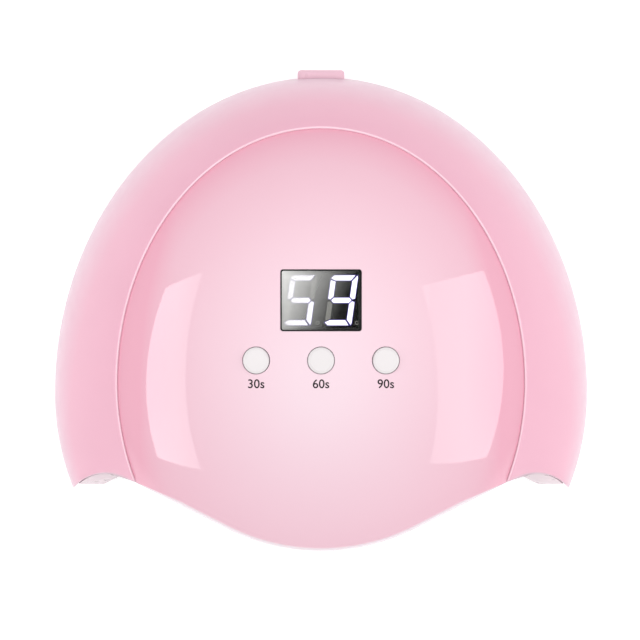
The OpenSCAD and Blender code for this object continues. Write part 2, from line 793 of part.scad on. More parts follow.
module sensor_board()
    color([0.1, 0.4, 0.2]) translate([0, sensor_y, sensor_z])
        rounded_slab([sensor_size.x, sensor_size.y], 1, sensor_size.z);

module sensor_bulb(side)
    translate([side * bulb_x, sensor_y, sensor_z - bulb_h]) {
        cylinder(r = bulb_r, h = bulb_h);
        sphere(r = bulb_r);
    }

module ir_emitter() color([0.75, 0.75, 0.9]) sensor_bulb(-1);
module ir_receiver() color([0.12, 0.1, 0.14]) sensor_bulb(1);

// ---- Power socket at the back ----

bezel_size = [16.2, 14];
bezel_corner_r = 1.4;
bezel_back_y = 83;
bezel_front_y = 75.2;
jack_r = 3.9;
jack_front_y = 82.6;
jack_rear_y = 66.5;
jack_box = [10, 11, 10];
contact_size = [0.8, 1.1, 2];
contact_x = 1.2;
socket_r = 3;
socket_floor_y = 72.6;
pin_tip_y = 81.4;
pin_root_r = 0.8;

module along_y(y, z) translate([0, y, z]) rotate([90, 0, 0]) children();

module jack_window(grow)
    along_y(far, jack_z)
        rounded_slab(bezel_size + [2 * grow, 2 * grow], bezel_corner_r + grow, far - jack_rear_y);

module jack_bezel()
    color([0.95, 0.78, 0.85]) difference() {
        along_y(bezel_back_y, jack_z)
            rounded_slab(bezel_size, bezel_corner_r, bezel_back_y - bezel_front_y);
        along_y(bezel_back_y + 1, jack_z) cylinder(r = jack_r + 0.1, h = 12);
        translate([-jack_box.x / 2 - 0.1, bezel_front_y - 1, jack_z - jack_box.z / 2 - 0.1])
            cube([jack_box.x + 0.2, 3.6, jack_box.z + 0.2]);
    }

module dc_jack_body()
    color([0.08, 0.08, 0.08]) difference() {
        union() {
            along_y(jack_front_y, jack_z) cylinder(r = jack_r, h = 5.6);
            translate([-jack_box.x / 2, jack_rear_y, jack_z - jack_box.z / 2]) cube(jack_box);
        }
        along_y(jack_front_y + 1, jack_z) cylinder(r = socket_r, h = jack_front_y + 1 - socket_floor_y);
        along_y(socket_floor_y + 1, jack_z) cylinder(r = pin_root_r + 0.02, h = 4);
    }

module dc_jack_pin()
    color([0.85, 0.83, 0.75]) {
        along_y(pin_tip_y, jack_z) cylinder(r = jack_pin_r, h = pin_tip_y - socket_floor_y);
        along_y(socket_floor_y, jack_z) cylinder(r = pin_root_r, h = 3);
    }

module dc_jack_contacts()
    color([0.85, 0.83, 0.75]) for (i = [-1, 1])
        translate([i * contact_x - contact_size.x / 2, jack_rear_y - contact_size.y, jack_z + 1.5])
            cube(contact_size);

// ---- Inner leads ----

// A round lead swept through hand-placed points
module lead(points, r) {
    sides = 6;
    n = len(points);
    function ring(i) =
        let (d = unit(points[min(i + 1, n - 1)] - points[max(i - 1, 0)]),
             u = unit(cross(d, [0.13, 0.97, 0.2])), v = cross(d, u))
        [for (j = [0:sides - 1]) points[i] + r * (cos(j * 360 / sides) * u + sin(j * 360 / sides) * v)];
    skin = flat([for (i = [0:n - 2], j = [0:sides - 1])
        patch(i * sides + j, (i + 1) * sides + j, (i + 1) * sides + (j + 1) % sides,
            i * sides + (j + 1) % sides)]);
    polyhedron(flat([for (i = [0:n - 1]) ring(i)]),
        concat(skin, [[for (j = [0:sides - 1]) j]],
            [[for (j = [sides - 1:-1:0]) (n - 1) * sides + j]]));
}

// Points along a cubic curve between two ends that leave in given directions
function swing(a, a_dir, b, b_dir, n) =
    [for (i = [0:n]) curve([a, a + a_dir, b + b_dir, b], i / n)];

// Where the leads meet their plugs
plug_face = 1.7;
lead_drop = 4.1;
power_lead_r = 0.6;
led_lead_r = 0.5;
sensor_lead_r = 0.4;
power_entry = [header_spots[0][0], header_spots[0][1] + plug_face, board_z - lead_drop];
led_entry = [header_spots[1][0], header_spots[1][1] + plug_face, board_z - lead_drop];
sensor_entry = [header_spots[2][0], header_spots[2][1] - plug_face, board_z - lead_drop];

module power_wires()
    color([0.75, 0.1, 0.1]) for (i = [-1, 1])
        lead(swing([i * contact_x, jack_rear_y - contact_size.y - power_lead_r - 0.15, jack_z + 3],
            [0, 5, 22], power_entry + [i * contact_x, 0, 0], [0, 34, 0], 14), power_lead_r);

lead_out = 4.9;
feed_angle = 107;
feed_x = 0.8;

// A point, or a direction, given in a frame's own axes
function place(f, p) = [for (i = [0:2]) f[i] * [p.x, p.y, p.z, 1]];
function turned(f, d) = [for (i = [0:2]) f[i] * [d.x, d.y, d.z, 0]];

function wall_lead(a, b) =
    let (n = ceil((b - a) / 4))
    [for (i = [0:n]) let (p = wall_point(mix(a, b, i / n), wall_led_m)) p + lead_out * outward(p)];

module led_wires()
    color([0.9, 0.9, 0.9]) {
        for (i = [0:len(wall_leds) - 2])
            lead(wall_lead(wall_leds[i] + 2, wall_leds[i + 1] - 2), led_lead_r);
        feed = wall_frame(feed_angle, wall_led_m);
        for (i = [-1, 1])
            lead(swing(led_entry + [i * feed_x, 0, 0], [0, 34, 0],
                place(feed, [-i * feed_x, -led_board_size.y / 2 - led_lead_r - 0.15, led_back + 0.6]),
                turned(feed, [0, -12, 2]), 14), led_lead_r);
    }

module sensor_wires()
    color([0.2, 0.2, 0.2]) for (i = [-1, 1])
        lead(swing([7 + i * 0.7, sensor_y + sensor_size.y / 2 + 0.1, sensor_z + sensor_size.z / 2],
            [0, 6, 0], sensor_entry + [i * 0.8, 0, 0], [0, -1.2, 0], 8), sensor_lead_r);

// Foam pads between the liner and the emitters' leads
module wire_clips()
    color([0.2, 0.2, 0.2]) for (a = [15, 50, 90, 130, 165])
        multmatrix(wall_frame(a, wall_led_m)) translate([-2.5, -2, liner_t + 0.3])
            cube([5, 4, lead_out - led_lead_r - liner_t - 0.7]);

top_panel();
rim_housing();
inner_liner();
base_ring();
rubber_feet();
base_screws();
display_lens();
lens_tape();
display_body();
display_segments_lit();
display_segments_unlit();
display_pins();
button_30s();
button_60s();
button_90s();
plunger_30s();
plunger_60s();
plunger_90s();
switch_bases();
switch_covers();
control_board();
board_screws();
mcu_chip();
capacitors();
power_inductor();
driver_transistors();
chip_resistors();
board_headers();
wire_plugs();
led_boards();
led_packages();
led_lenses();
reflector_cups();
sensor_board();
ir_emitter();
ir_receiver();
jack_bezel();
dc_jack_body();
dc_jack_pin();
dc_jack_contacts();
power_wires();
led_wires();
sensor_wires();
wire_clips();
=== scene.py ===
import json
import math

import bmesh
import bpy
import numpy as np
from mathutils import Matrix, Vector
from mathutils.geometry import delaunay_2d_cdt

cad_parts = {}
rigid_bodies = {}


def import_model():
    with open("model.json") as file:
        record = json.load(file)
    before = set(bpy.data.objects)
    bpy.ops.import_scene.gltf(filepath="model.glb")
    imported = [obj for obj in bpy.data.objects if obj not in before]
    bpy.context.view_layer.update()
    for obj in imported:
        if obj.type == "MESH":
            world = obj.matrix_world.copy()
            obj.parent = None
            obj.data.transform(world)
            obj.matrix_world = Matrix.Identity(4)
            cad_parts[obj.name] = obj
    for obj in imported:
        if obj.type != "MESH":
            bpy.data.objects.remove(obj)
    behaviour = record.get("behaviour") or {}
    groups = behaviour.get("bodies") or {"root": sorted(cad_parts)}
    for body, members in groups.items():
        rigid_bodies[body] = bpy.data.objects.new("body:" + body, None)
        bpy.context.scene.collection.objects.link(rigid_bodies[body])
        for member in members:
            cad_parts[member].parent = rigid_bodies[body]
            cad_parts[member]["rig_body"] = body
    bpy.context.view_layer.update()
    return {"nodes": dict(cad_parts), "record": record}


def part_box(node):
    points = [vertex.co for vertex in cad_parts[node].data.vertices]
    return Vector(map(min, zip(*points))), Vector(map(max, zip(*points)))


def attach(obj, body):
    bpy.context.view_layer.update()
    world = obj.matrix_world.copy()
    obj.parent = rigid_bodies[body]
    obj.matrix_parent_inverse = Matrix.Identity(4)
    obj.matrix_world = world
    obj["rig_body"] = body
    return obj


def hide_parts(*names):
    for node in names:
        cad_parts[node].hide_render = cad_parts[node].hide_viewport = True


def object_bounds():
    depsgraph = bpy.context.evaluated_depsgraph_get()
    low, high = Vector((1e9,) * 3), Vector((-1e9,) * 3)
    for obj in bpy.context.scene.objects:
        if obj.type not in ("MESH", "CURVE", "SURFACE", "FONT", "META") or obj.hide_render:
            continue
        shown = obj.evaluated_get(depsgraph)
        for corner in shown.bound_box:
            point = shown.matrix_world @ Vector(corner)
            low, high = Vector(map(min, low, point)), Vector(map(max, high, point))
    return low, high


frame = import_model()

# Shapes are worked out in millimetres and made in metres.
MM = 0.001

# ---- Driving sizes, the same as the design's ----
RIM_HALF_W = 92.08
RIM_Y = -28.6
RIM_BACK = 109.2
RIM_FRONT = 90.6
WAIST_Z = 12
TUCK = 1.6
PANEL_HALF_W = 70
PANEL_Y = -25.2
PANEL_BACK = 87.5
PANEL_FRONT = 82.7
RIM_STEP = 1.6
CROWN_Z = 76
DOME_Y = -7
DOME_AXES = (92, 95, 62)
DOME_Z = CROWN_Z - DOME_AXES[2]
VISOR_R = 71.49
VISOR_Y = -11.5
SCOOP_R = 15
SCOOP_X = 74
SCOOP_Y = -71.1
RIM_T = 2.2
PANEL_T = 2.2
LINER_T = 1.6
LEDGE_W = 5
LEDGE_T = 1.6
LEDGE_ROOT = 1.5
GAP = 0.15
SLOPE = math.radians(35)
BAND_W = RIM_HALF_W - PANEL_HALF_W
RIM_BOTTOM_Z = 1.8

# ---- The rim's section and its edges ----
SKIRT = ((TUCK, RIM_BOTTOM_Z), (TUCK * 0.45, 4.5), (0, 8.5), (0, WAIST_Z))
SKIRT_STEPS = 8
SKIN_LIFT = 0.45       # how far up the skin its lower control point lies
INSIDE_REACH = 0.75    # how much of its curve the inside follows before it turns to the ledge
FOOT_INSETS = (0.35, 0.1)  # of the lowest point of the outside, and of the one over it
LIP_BACK = 0.8         # the slope from the skin down to the joint
SEAM = 0.01
END_R = 0.8            # rounding of the rim's two front ends
END_STEPS = 4
LEDGE_BACK = 5         # the ledge ends this far behind the visor's corner
VISOR_EDGE_R = 1.7
JOINT_EDGE_R = 0.07
EDGE_RUN = 24          # points over which one radius turns into the other

# ---- Power socket's frame ----
SOCKET_R = 4.4
BEZEL_EDGE_R = 1.2
BEZEL_GAP = 0.15
BEZEL_CORNER_R = 1.4
CUT_INWARD = 6
CUT_OUTWARD = 9

# ---- Hand bay ----
ROOF_Z = 54.5
LIP_T = 4.2
LIP_DROP = 1
LIP_DROP_X = 44
LIP_DROP_W = 12
BAY_HALF_W = 81.5
BAY_BACK = 88
BAY_FRONT = 80
BAY_TURN = 23
SHOULDER_HALF_W = 74.6
SHOULDER_Y = -27
SHOULDER_BACK = 81
SHOULDER_FRONT = 76
BAY_CROWN = (0, -15)
FRONT_INSET = 1.7
WALL_LEAN = 2.4
ROOF_ROUND = 4
WALL_Z = 3.6
CUP_R = 3.6
WALL_LEDS = (-10, 0, 28, 38, 63, 73, 107, 117, 142, 152, 180, 190)
WALL_LED_M = 0.55
ROOF_LEDS = (20, 36, 144, 160)
ROOF_LED_W = 0.42
FRONT_LEDS = (-7, 7)
FRONT_LED_W = 0.4
SENSOR_Y = -40
BULB_X = 4
BULB_HOLE_R = 1.8
BAY_MIDDLE = np.array([0, -28, 2])
BAY_AXES = (80, 86, 53)
BAY_FRONT_AXIS = 110
CUP_CUT = (-3, 4)      # how far the cups' holes reach, from the bay side to behind the wall

# ---- The pillars' front flanges ----
FLANGE_ROWS = 24
CAP_ROWS = 16
FLANGE_R = 0.5
FLANGE_GAP = 0.35      # left to the rim and the ledge
FLANGE_OUT = 0.5       # the flange stands this far before the liner's wall
CAP_RISE = 0.6         # the cap starts this far inside the liner's roof
CAP_END_X = 59

# ---- Display and buttons ----
LENS_SIZE = (27.8, 21.1)
LENS_Y = 3.3
LENS_T = 1.2
LENS_GAP = 0.04
LENS_CORNER_R = 0.9
SEAT_W = 1.1
SEAT_DEPTH = 1.4
SEAT_CORNER_R = 0.3
OPENING_EDGE_R = 0.2
LENS_EDGE_R = 0.18
LENS_SUNK = 0.05
BORDER_INSET = 0.03
BORDER_W = 0.42
BORDER_CORNER_R = 0.55
BORDER_DEPTHS = (0.01, 0.1)
BUTTON_R = 4.7
BUTTON_Y = -17.3
BUTTON_PITCH = 22.2
HOLE_R = BUTTON_R + 0.04
HOLE_EDGE_R = 0.12
CAP_R = BUTTON_R - 0.12
CAP_EDGE_R = 0.55
CAP_EDGE_DROP = 0.95   # from the cap's top to the start of its rounded edge
KEY_FLANGE_T = 0.8
KEY_CHAMFER = 0.15
KEYS = {"30s": -BUTTON_PITCH, "60s": 0, "90s": BUTTON_PITCH}
LABEL_Y = -25.3
LABEL_H = 3.1
LABEL_SPREAD = 0.01    # thickens the strokes, in the font's own units
INK = 0.02
DIGIT_H = 17.1
DIGIT_W = 9.2
DIGIT_GAP = 13.9
DIGIT_LEAN = math.tan(math.radians(8))
LIT_BARS = ("acdfg", "abcdfg")
UNLIT_BARS = ("be", "e")
STROKE = 1.75
BAR_GAP = 0.36
BAR_INSET = 0.03
HALO_W = 0.2
HALO_T = 0.08
POINT_XS = (-1.2, 12.3)
POINT_Y = -4.4
POINT_RADII = (0.7, 0.42)
POINT_SEGMENTS = 24

# ---- Light and camera ----
WORLD_STRENGTH = 0.595
OVERHEAD_R = 1.1
OVERHEAD_CUT = 0.25    # the overhead light ends at this part of its radius above the floor
OVERHEAD_STRENGTH = 1.25
OVERHEAD_WIDE = 64     # degrees from its middle to where it has faded out
OVERHEAD_TILT = math.radians(-9)
LEFT_STRENGTH = 4.2
RIGHT_STRENGTH = 3.35
SOFTBOX_FADE = 0.5     # brightness of a softbox's far edge, for 1 at its near edge
SOFTBOX_ROWS = 24
LEFT_SOFTBOX = ((-0.6, 0.148, 0.474), (-0.6, -0.448, 0.205), (-0.6, -0.663, 0.485), (-0.6, 0.27, 0.763))
RIGHT_SOFTBOX = ((0.6, 0.20, 0.40), (0.6, -0.44, 0.19), (0.6, -0.70, 0.62), (0.6, 0.24, 0.98))
FLOOR_R = 40
LENS_LENGTH = 1000
SENSOR_W = 36
FIELD = 220.5          # width of the picture where the lamp is widest
FIELD_Z = 40
AIM = (-0.35, -3.45)   # the picture's middle, from the lamp's

# ---- Fineness of the meshes ----
RIM_COLUMNS = 220
CURVE_STEPS = 26
FILLET_STEPS = 5
LINER_COLUMNS = 180
LINER_FRONT_COLUMNS = 84
LINER_ROWS = 20
GRID_STEP = 2.4


# ---------------------------------------------------------------- shape rules

def mix(a, b, t):
    return a + (b - a) * t


def unit(v):
    return v / np.linalg.norm(v)


def curve(p, t):
    """A point on the cubic curve with four control points."""
    u = 1 - t
    return u ** 3 * p[0] + 3 * u * u * t * p[1] + 3 * u * t * t * p[2] + t ** 3 * p[3]


VISOR_TURN = (math.asin((VISOR_R + SCOOP_R) / math.hypot(SCOOP_X, SCOOP_Y - VISOR_Y))
              + math.atan2(SCOOP_Y - VISOR_Y, SCOOP_X))
VISOR_SIDE_X = VISOR_R * math.sin(VISOR_TURN)
VISOR_SIDE_Y = VISOR_Y - VISOR_R * math.cos(VISOR_TURN)
SCOOP_START_X = SCOOP_X - SCOOP_R * math.sin(VISOR_TURN)


def front_y(x):
    """Y of the front edge seen from above: visor arc, straight flank, then the scoop over each foot."""
    x = abs(x)
    if x < VISOR_SIDE_X:
        return VISOR_Y - math.sqrt(VISOR_R ** 2 - x * x)
    if x < SCOOP_START_X:
        return VISOR_SIDE_Y + (x - VISOR_SIDE_X) * math.tan(VISOR_TURN)
    return SCOOP_Y + math.sqrt(max(0, SCOOP_R ** 2 - (x - SCOOP_X) ** 2))


def dome(x, y, t=0.0):
    """Height of the dome over a point, or of the surface a depth t under its skin."""
    a, b, c = (axis - t for axis in DOME_AXES)
    return DOME_Z + c * math.sqrt(max(0, 1 - (x / a) ** 2 - ((y - DOME_Y) / b) ** 2))


def dome_normal(x, y):
    a, b, c = DOME_AXES
    return unit(np.array([x / a ** 2, (y - DOME_Y) / b ** 2, (dome(x, y) - DOME_Z) / c ** 2]))


def oval(angle, s):
    """A point on the family of ovals: s is 0 on the rim's outline and 1 on the panel's edge."""
    reach = mix(RIM_BACK, PANEL_BACK, s) if math.sin(angle) > 0 else mix(RIM_FRONT, PANEL_FRONT, s)
    return (mix(RIM_HALF_W, PANEL_HALF_W, s) * math.cos(angle),
            mix(RIM_Y, PANEL_Y, s) + reach * math.sin(angle))


def front_crossing(point_at, halvings):
    """The angle at which an oval meets the front edge, found by halving."""
    low, high = math.radians(-50), 0.0
    for _ in range(halvings):
        middle = (low + high) / 2
        x, y = point_at(middle)
        if y > front_y(x):
            high = middle
        else:
            low = middle
    return middle


END_ANGLES = {}


def end_angle(s):
    key = round(s, 6)
    if key not in END_ANGLES:
        END_ANGLES[key] = front_crossing(lambda angle: oval(angle, s), 30)
    return END_ANGLES[key]


# ---------------------------------------------------------------- mesh helpers

def link(name, mesh):
    piece = bpy.data.objects.new(name, mesh)
    bpy.context.scene.collection.objects.link(piece)
    return piece


def mesh_from(name, bm):
    mesh = bpy.data.meshes.new(name)
    bm.to_mesh(mesh)
    bm.free()
    return mesh


def merged_copy(source):
    """The mesh of a CAD piece with its corners joined and its flat faces whole."""
    bm = bmesh.new()
    bm.from_mesh(source.data)
    bmesh.ops.remove_doubles(bm, verts=bm.verts, dist=1e-6)
    bmesh.ops.dissolve_limit(bm, angle_limit=math.radians(1), verts=bm.verts, edges=bm.edges)
    return bm


def piece_from(name, verts, faces, body, slot, sharp=40, replaces=()):
    """A closed piece from points in millimetres, smooth but for edges sharper than an angle."""
    mesh = bpy.data.meshes.new(name)
    mesh.from_pydata([tuple(c * MM for c in v) for v in verts], [], faces)
    bm = bmesh.new()
    bm.from_mesh(mesh)
    bmesh.ops.recalc_face_normals(bm, faces=bm.faces)
    bm.to_mesh(mesh)
    bm.free()
    return finished(link(name, mesh), body, slot, sharp, replaces)


def finished(piece, body, slot, sharp=40, replaces=()):
    piece.data.shade_smooth()
    piece.data.set_sharp_from_angle(angle=math.radians(sharp))
    piece.data.materials.clear()
    piece.data.materials.append(MATERIALS[slot])
    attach(piece, body)
    if replaces:
        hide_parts(*replaces)
    return piece


def softened(node, name, width, segments=3, limit=35):
    """A copy of a CAD node with its corners rounded, which stands for it."""
    source = frame["nodes"][node]
    piece = link(name, mesh_from(name, merged_copy(source)))
    bevel = piece.modifiers.new("rounding", "BEVEL")
    bevel.width = width * MM
    bevel.segments = segments
    bevel.limit_method = "ANGLE"
    bevel.angle_limit = math.radians(limit)
    bevel.use_clamp_overlap = True
    bevel.harden_normals = False
    finished(piece, source["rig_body"], NODE_SLOTS[node], replaces=[node])


def strips(loops, closed=True):
    """Faces between equal loops of vertex indices."""
    faces = []
    for a, b in zip(loops, loops[1:]):
        n = len(a)
        for j in range(n if closed else n - 1):
            i = (j + 1) % n
            faces.append((a[j], a[i], b[i], b[j]))
    return faces


def lathe(profile, centre, segments=96):
    """Points and faces of a turned shape; the profile's ends lie on its axis."""
    cx, cy = centre
    verts, rings = [], []
    for r, z in profile:
        if r < 1e-6:
            rings.append([len(verts)])
            verts.append((cx, cy, z))
        else:
            start = len(verts)
            rings.append(list(range(start, start + segments)))
            verts += [(cx + r * math.cos(2 * math.pi * i / segments),
                       cy + r * math.sin(2 * math.pi * i / segments), z) for i in range(segments)]
    faces = []
    for a, b in zip(rings, rings[1:]):
        if len(a) == 1 or len(b) == 1:
            tip, ring = (a[0], b) if len(a) == 1 else (b[0], a)
            faces += [(tip, ring[i], ring[(i + 1) % segments]) for i in range(segments)]
        else:
            faces += strips([a, b])
    return verts, faces


# ---------------------------------------------------------------- materials

SLOT_COLOURS = {m["slot"]: m["base_color"] for m in frame["record"]["materials"]}
NODE_SLOTS = {s["node"]: s["material_slot"] for s in frame["record"]["subparts"]}


class Nodes:
    """A material's node tree, with short calls for what this scene uses."""

    def __init__(self, name):
        self.material = bpy.data.materials.new(name)
        self.material.use_nodes = True
        self.tree = self.material.node_tree
        self.shader = self.tree.nodes["Principled BSDF"]
        self.place = self.node("ShaderNodeTexCoord").outputs["Object"]

    def node(self, kind, **settings):
        made = self.tree.nodes.new(kind)
        for key, value in settings.items():
            setattr(made, key, value)
        return made

    def join(self, source, target):
        self.tree.links.new(source, target)

    def noise(self, scale, detail=3.0, roughness=0.5):
        made = self.node("ShaderNodeTexNoise")
        made.inputs["Scale"].default_value = scale
        made.inputs["Detail"].default_value = detail
        made.inputs["Roughness"].default_value = roughness
        self.join(self.place, made.inputs["Vector"])
        return made.outputs["Fac"]

    def spread(self, value, low, high, start=0.3, end=0.7):
        """Maps a noise onto a range of numbers."""
        made = self.node("ShaderNodeMapRange")
        made.inputs["From Min"].default_value = start
        made.inputs["From Max"].default_value = end
        made.inputs["To Min"].default_value = low
        made.inputs["To Max"].default_value = high
        self.join(value, made.inputs["Value"])
        return made.outputs["Result"]

    def blend(self, value, first, second):
        """A colour between two, by a number from 0 to 1."""
        made = self.node("ShaderNodeMix", data_type="RGBA")
        self.join(value, made.inputs[0])
        for socket, colour in ((made.inputs[6], first), (made.inputs[7], second)):
            if isinstance(colour, bpy.types.NodeSocket):
                self.join(colour, socket)
            else:
                socket.default_value = (*colour[:3], 1)
        return made.outputs[2]

    def bump(self, value, strength, distance):
        made = self.node("ShaderNodeBump")
        made.inputs["Strength"].default_value = strength
        made.inputs["Distance"].default_value = distance * MM
        self.join(value, made.inputs["Height"])
        self.join(made.outputs["Normal"], self.shader.inputs["Normal"])

    def maths(self, operation, first, second):
        """The result of one operation on two values, the second of which may be a plain number."""
        made = self.node("ShaderNodeMath", operation=operation)
        self.join(first, made.inputs[0])
        if isinstance(second, bpy.types.NodeSocket):
            self.join(second, made.inputs[1])
        else:
            made.inputs[1].default_value = second
        return made.outputs[0]

    def steepness(self, start, end):
        """0 where the surface lies flat, up to 1 where its normal's height falls from start to end."""
        apart = self.node("ShaderNodeSeparateXYZ")
        self.join(self.node("ShaderNodeNewGeometry").outputs["Normal"], apart.inputs[0])
        return self.spread(apart.outputs[2], 1, 0, end, start)

    def axis(self, number):
        """One coordinate of the place, in metres."""
        apart = self.node("ShaderNodeSeparateXYZ")
        self.join(self.place, apart.inputs[0])
        return apart.outputs[number]

    def across_square(self):
        """The square of the distance to the side, 1 at the panel's half width."""
        return self.maths("POWER", self.maths("DIVIDE", self.axis(0), PANEL_HALF_W * MM), 2)

    def panel_oval(self):
        """The square of the distance from the middle of the panel's oval, 1 along the joint."""
        back = self.maths("SUBTRACT", self.axis(1), PANEL_Y * MM)
        along = self.maths("MAXIMUM", self.maths("DIVIDE", back, PANEL_BACK * MM),
                           self.maths("DIVIDE", back, -PANEL_FRONT * MM))
        return self.maths("ADD", self.across_square(), self.maths("POWER", along, 2))

    def colour(self, source):
        self.join(source, self.shader.inputs["Base Color"])

    def toned(self, scale, detail, first, second):
        """A colour that drifts between two over the surface."""
        self.colour(self.blend(self.spread(self.noise(scale, detail), 0, 1), first, second))

    def roughness(self, scale, detail, low, high):
        """A roughness that drifts between two numbers over the surface."""
        self.join(self.spread(self.noise(scale, detail), low, high), self.shader.inputs["Roughness"])

    def set(self, **values):
        for key, value in values.items():
            self.shader.inputs[key.replace("_", " ")].default_value = value


def shade(colour, factor):
    return tuple(min(1, c * factor) for c in colour[:3])


def plastic(name, colour, rough, spread=0.05, grain=900, bump=0.05, depth=0.02, tone=0.03, **more):
    """Moulded plastic: a fine grain in the surface and a faint drift of tone and gloss across it."""
    n = Nodes(name)
    n.toned(35, 2, shade(colour, 1 - tone), shade(colour, 1 + tone))
    n.roughness(220, 4, rough - spread, rough + spread)
    n.bump(n.noise(grain, 3), bump, depth)
    n.set(**more)
    return n.material


def metal(name, colour, rough, grain=500, bump=0.08):
    n = Nodes(name)
    n.toned(120, 3, shade(colour, 0.9), shade(colour, 1.05))
    n.roughness(400, 4, rough * 0.7, rough * 1.3)
    n.bump(n.noise(grain, 4), bump, 0.02)
    n.set(Metallic=1.0)
    return n.material


VISOR_HIGHLIGHT_SLOPES = (0.64, 0.52)       # heights of the normal between which the visor's edge turns paler, a painted highlight
# Heights of the normal between which the rim's edges turn paler, a painted highlight.
RIM_HIGHLIGHT_SLOPES = (0.5, 0.1)
LIP_HIGHLIGHT_RANGE = (1.012, 1.022)        # of the panel's oval, where the lip's painted highlight gives way to the rim's colour
SIDE_SHADE_RANGE = (0.5, 0.85)          # of the squared distance to the side, where the painted shade along the sides deepens
SIDE_SHADE_LENGTH = (-0.068, -0.035)    # Y in metres where that painted shade starts and where it is full
# Painted light on the top panel: the pale pink is a painted reflection in the middle of its oval, the
# deep pink painted shade towards its edges.
PAINTED_SHEEN_PINK = (0.76, 0.58, 0.645)
PAINTED_SHADE_PINK = (0.765, 0.38, 0.48)
RIM_PINK = (0.765, 0.415, 0.52)
# Painted highlight on the visor's steep rounded edge.
VISOR_HIGHLIGHT_PINK = (0.74, 0.63, 0.68)
# Painted highlight: the pale line along the rim's lip at the joint.
LIP_HIGHLIGHT_PINK = (0.92, 0.66, 0.74)
# Painted highlight on the rim's steep rounded edges.
RIM_HIGHLIGHT_PINK = (0.70, 0.51, 0.59)


def gloss_pink():
    """The top panel: pink under a clear polished skin, with painted light in its colour: palest in the
    middle of its oval as a painted reflection, deeper towards the joint and the sides as painted shade,
    and paler on the visor's edge as a painted highlight.
    """
    n = Nodes("gloss_pink")
    across_square, oval_square = n.across_square(), n.panel_oval()
    # Painted reflection: palest in the middle of the panel's oval, deeper towards its edge.
    painted_sheen_falloff = n.spread(n.maths("POWER", oval_square, 0.5), -0.1, 0.7, 0, 1)
    # Painted shade along the sides, next to the rim's step.
    side_painted_shade = n.maths("MULTIPLY", n.spread(across_square, 0, 0.4, *SIDE_SHADE_RANGE),
                       n.spread(n.axis(1), 0, 1, *SIDE_SHADE_LENGTH))
    # Painted shade near the joint with the rim, added to the side shade.
    joint_painted_shade = n.maths("ADD", n.spread(oval_square, 0, 0.3, 0.75, 1), side_painted_shade)
    # How far each point goes from the painted reflection's pale pink to the painted shade's deep pink,
    # with a faint random drift.
    depth = n.maths("MULTIPLY", n.maths("ADD", painted_sheen_falloff, joint_painted_shade), n.spread(n.noise(30, 2), 0.97, 1.03))
    body = n.blend(depth, PAINTED_SHEEN_PINK, PAINTED_SHADE_PINK)
    # Painted highlight: paler where the visor's edge turns steep.
    n.colour(n.blend(n.steepness(*VISOR_HIGHLIGHT_SLOPES), body, VISOR_HIGHLIGHT_PINK))
    n.roughness(500, 4, 0.025, 0.045)
    n.bump(n.noise(60, 2), 0.03, 0.02)
    n.set(IOR=1.5, Coat_Weight=0.35, Coat_Roughness=0.01)
    return n.material


def satin_pink():
    """The rim: the same pink with a fine satin texture from its mould, with painted highlights: paler on
    its rounded edges and in a line along its lip.
    """
    n = Nodes("satin_pink")
    drift = n.spread(n.noise(35, 2), 0, 1)
    body = n.blend(drift, shade(RIM_PINK, 0.988), shade(RIM_PINK, 1.012))
    # Painted highlight: paler where the rim's surface turns steep.
    rounded = n.blend(n.steepness(*RIM_HIGHLIGHT_SLOPES), body, RIM_HIGHLIGHT_PINK)
    # Painted highlight: a pale line along the lip, next to the joint.
    n.colour(n.blend(n.spread(n.panel_oval(), 1, 0, *LIP_HIGHLIGHT_RANGE), rounded, LIP_HIGHLIGHT_PINK))
    n.roughness(220, 4, 0.31, 0.41)
    n.bump(n.noise(1400, 3), 0.12, 0.02)
    n.set(IOR=1.5)
    return n.material


def smoked_window():
    """Smoked acrylic with a painted reflection in its colour and clearness: lighter and less clear
    towards one corner.
    """
    n = Nodes("smoked_window")
    # Painted reflection: a gradient across the window, lighter towards one corner.
    slant = n.maths("SUBTRACT", n.maths("MULTIPLY", n.axis(1), 0.45), n.axis(0))
    painted_glare = n.maths("MULTIPLY", n.spread(slant, 0, 1, -0.007, 0.0205),
                   n.spread(n.noise(300, 3), 0.97, 1.03))
    n.colour(n.blend(painted_glare, (0.004, 0.004, 0.003), (0.86, 0.86, 0.84)))
    n.join(n.spread(painted_glare, 0.25, 0.78, 0, 1), n.shader.inputs["Alpha"])
    n.roughness(250, 3, 0.02, 0.05)
    n.set(IOR=1.49, Specular_IOR_Level=0.18)
    return n.material


def lit(name, colour, strength):
    n = Nodes(name)
    n.toned(600, 2, shade(colour, 0.9), colour)
    n.roughness(500, 3, 0.4, 0.55)
    n.set(Emission_Color=(*colour, 1), Emission_Strength=strength)
    return n.material


def clear(name, colour, rough=0.04, ior=1.43):
    n = Nodes(name)
    n.toned(300, 3, shade(colour, 0.96), colour)
    n.roughness(500, 3, rough * 0.6, rough * 1.4)
    n.bump(n.noise(700, 2), 0.02, 0.01)
    n.set(Transmission_Weight=0.9, IOR=ior)
    return n.material


def board(name, colour):
    """Solder mask over copper: faint tracks show as a change of tone and height."""
    n = Nodes(name)
    tracks = n.node("ShaderNodeTexBrick")
    n.join(n.place, tracks.inputs["Vector"])
    tracks.inputs["Scale"].default_value = 220
    tracks.inputs["Mortar Size"].default_value = 0.06
    n.colour(n.blend(tracks.outputs["Fac"], colour, shade(colour, 1.5)))
    n.roughness(400, 3, 0.22, 0.36)
    n.bump(tracks.outputs["Fac"], 0.2, 0.03)
    return n.material


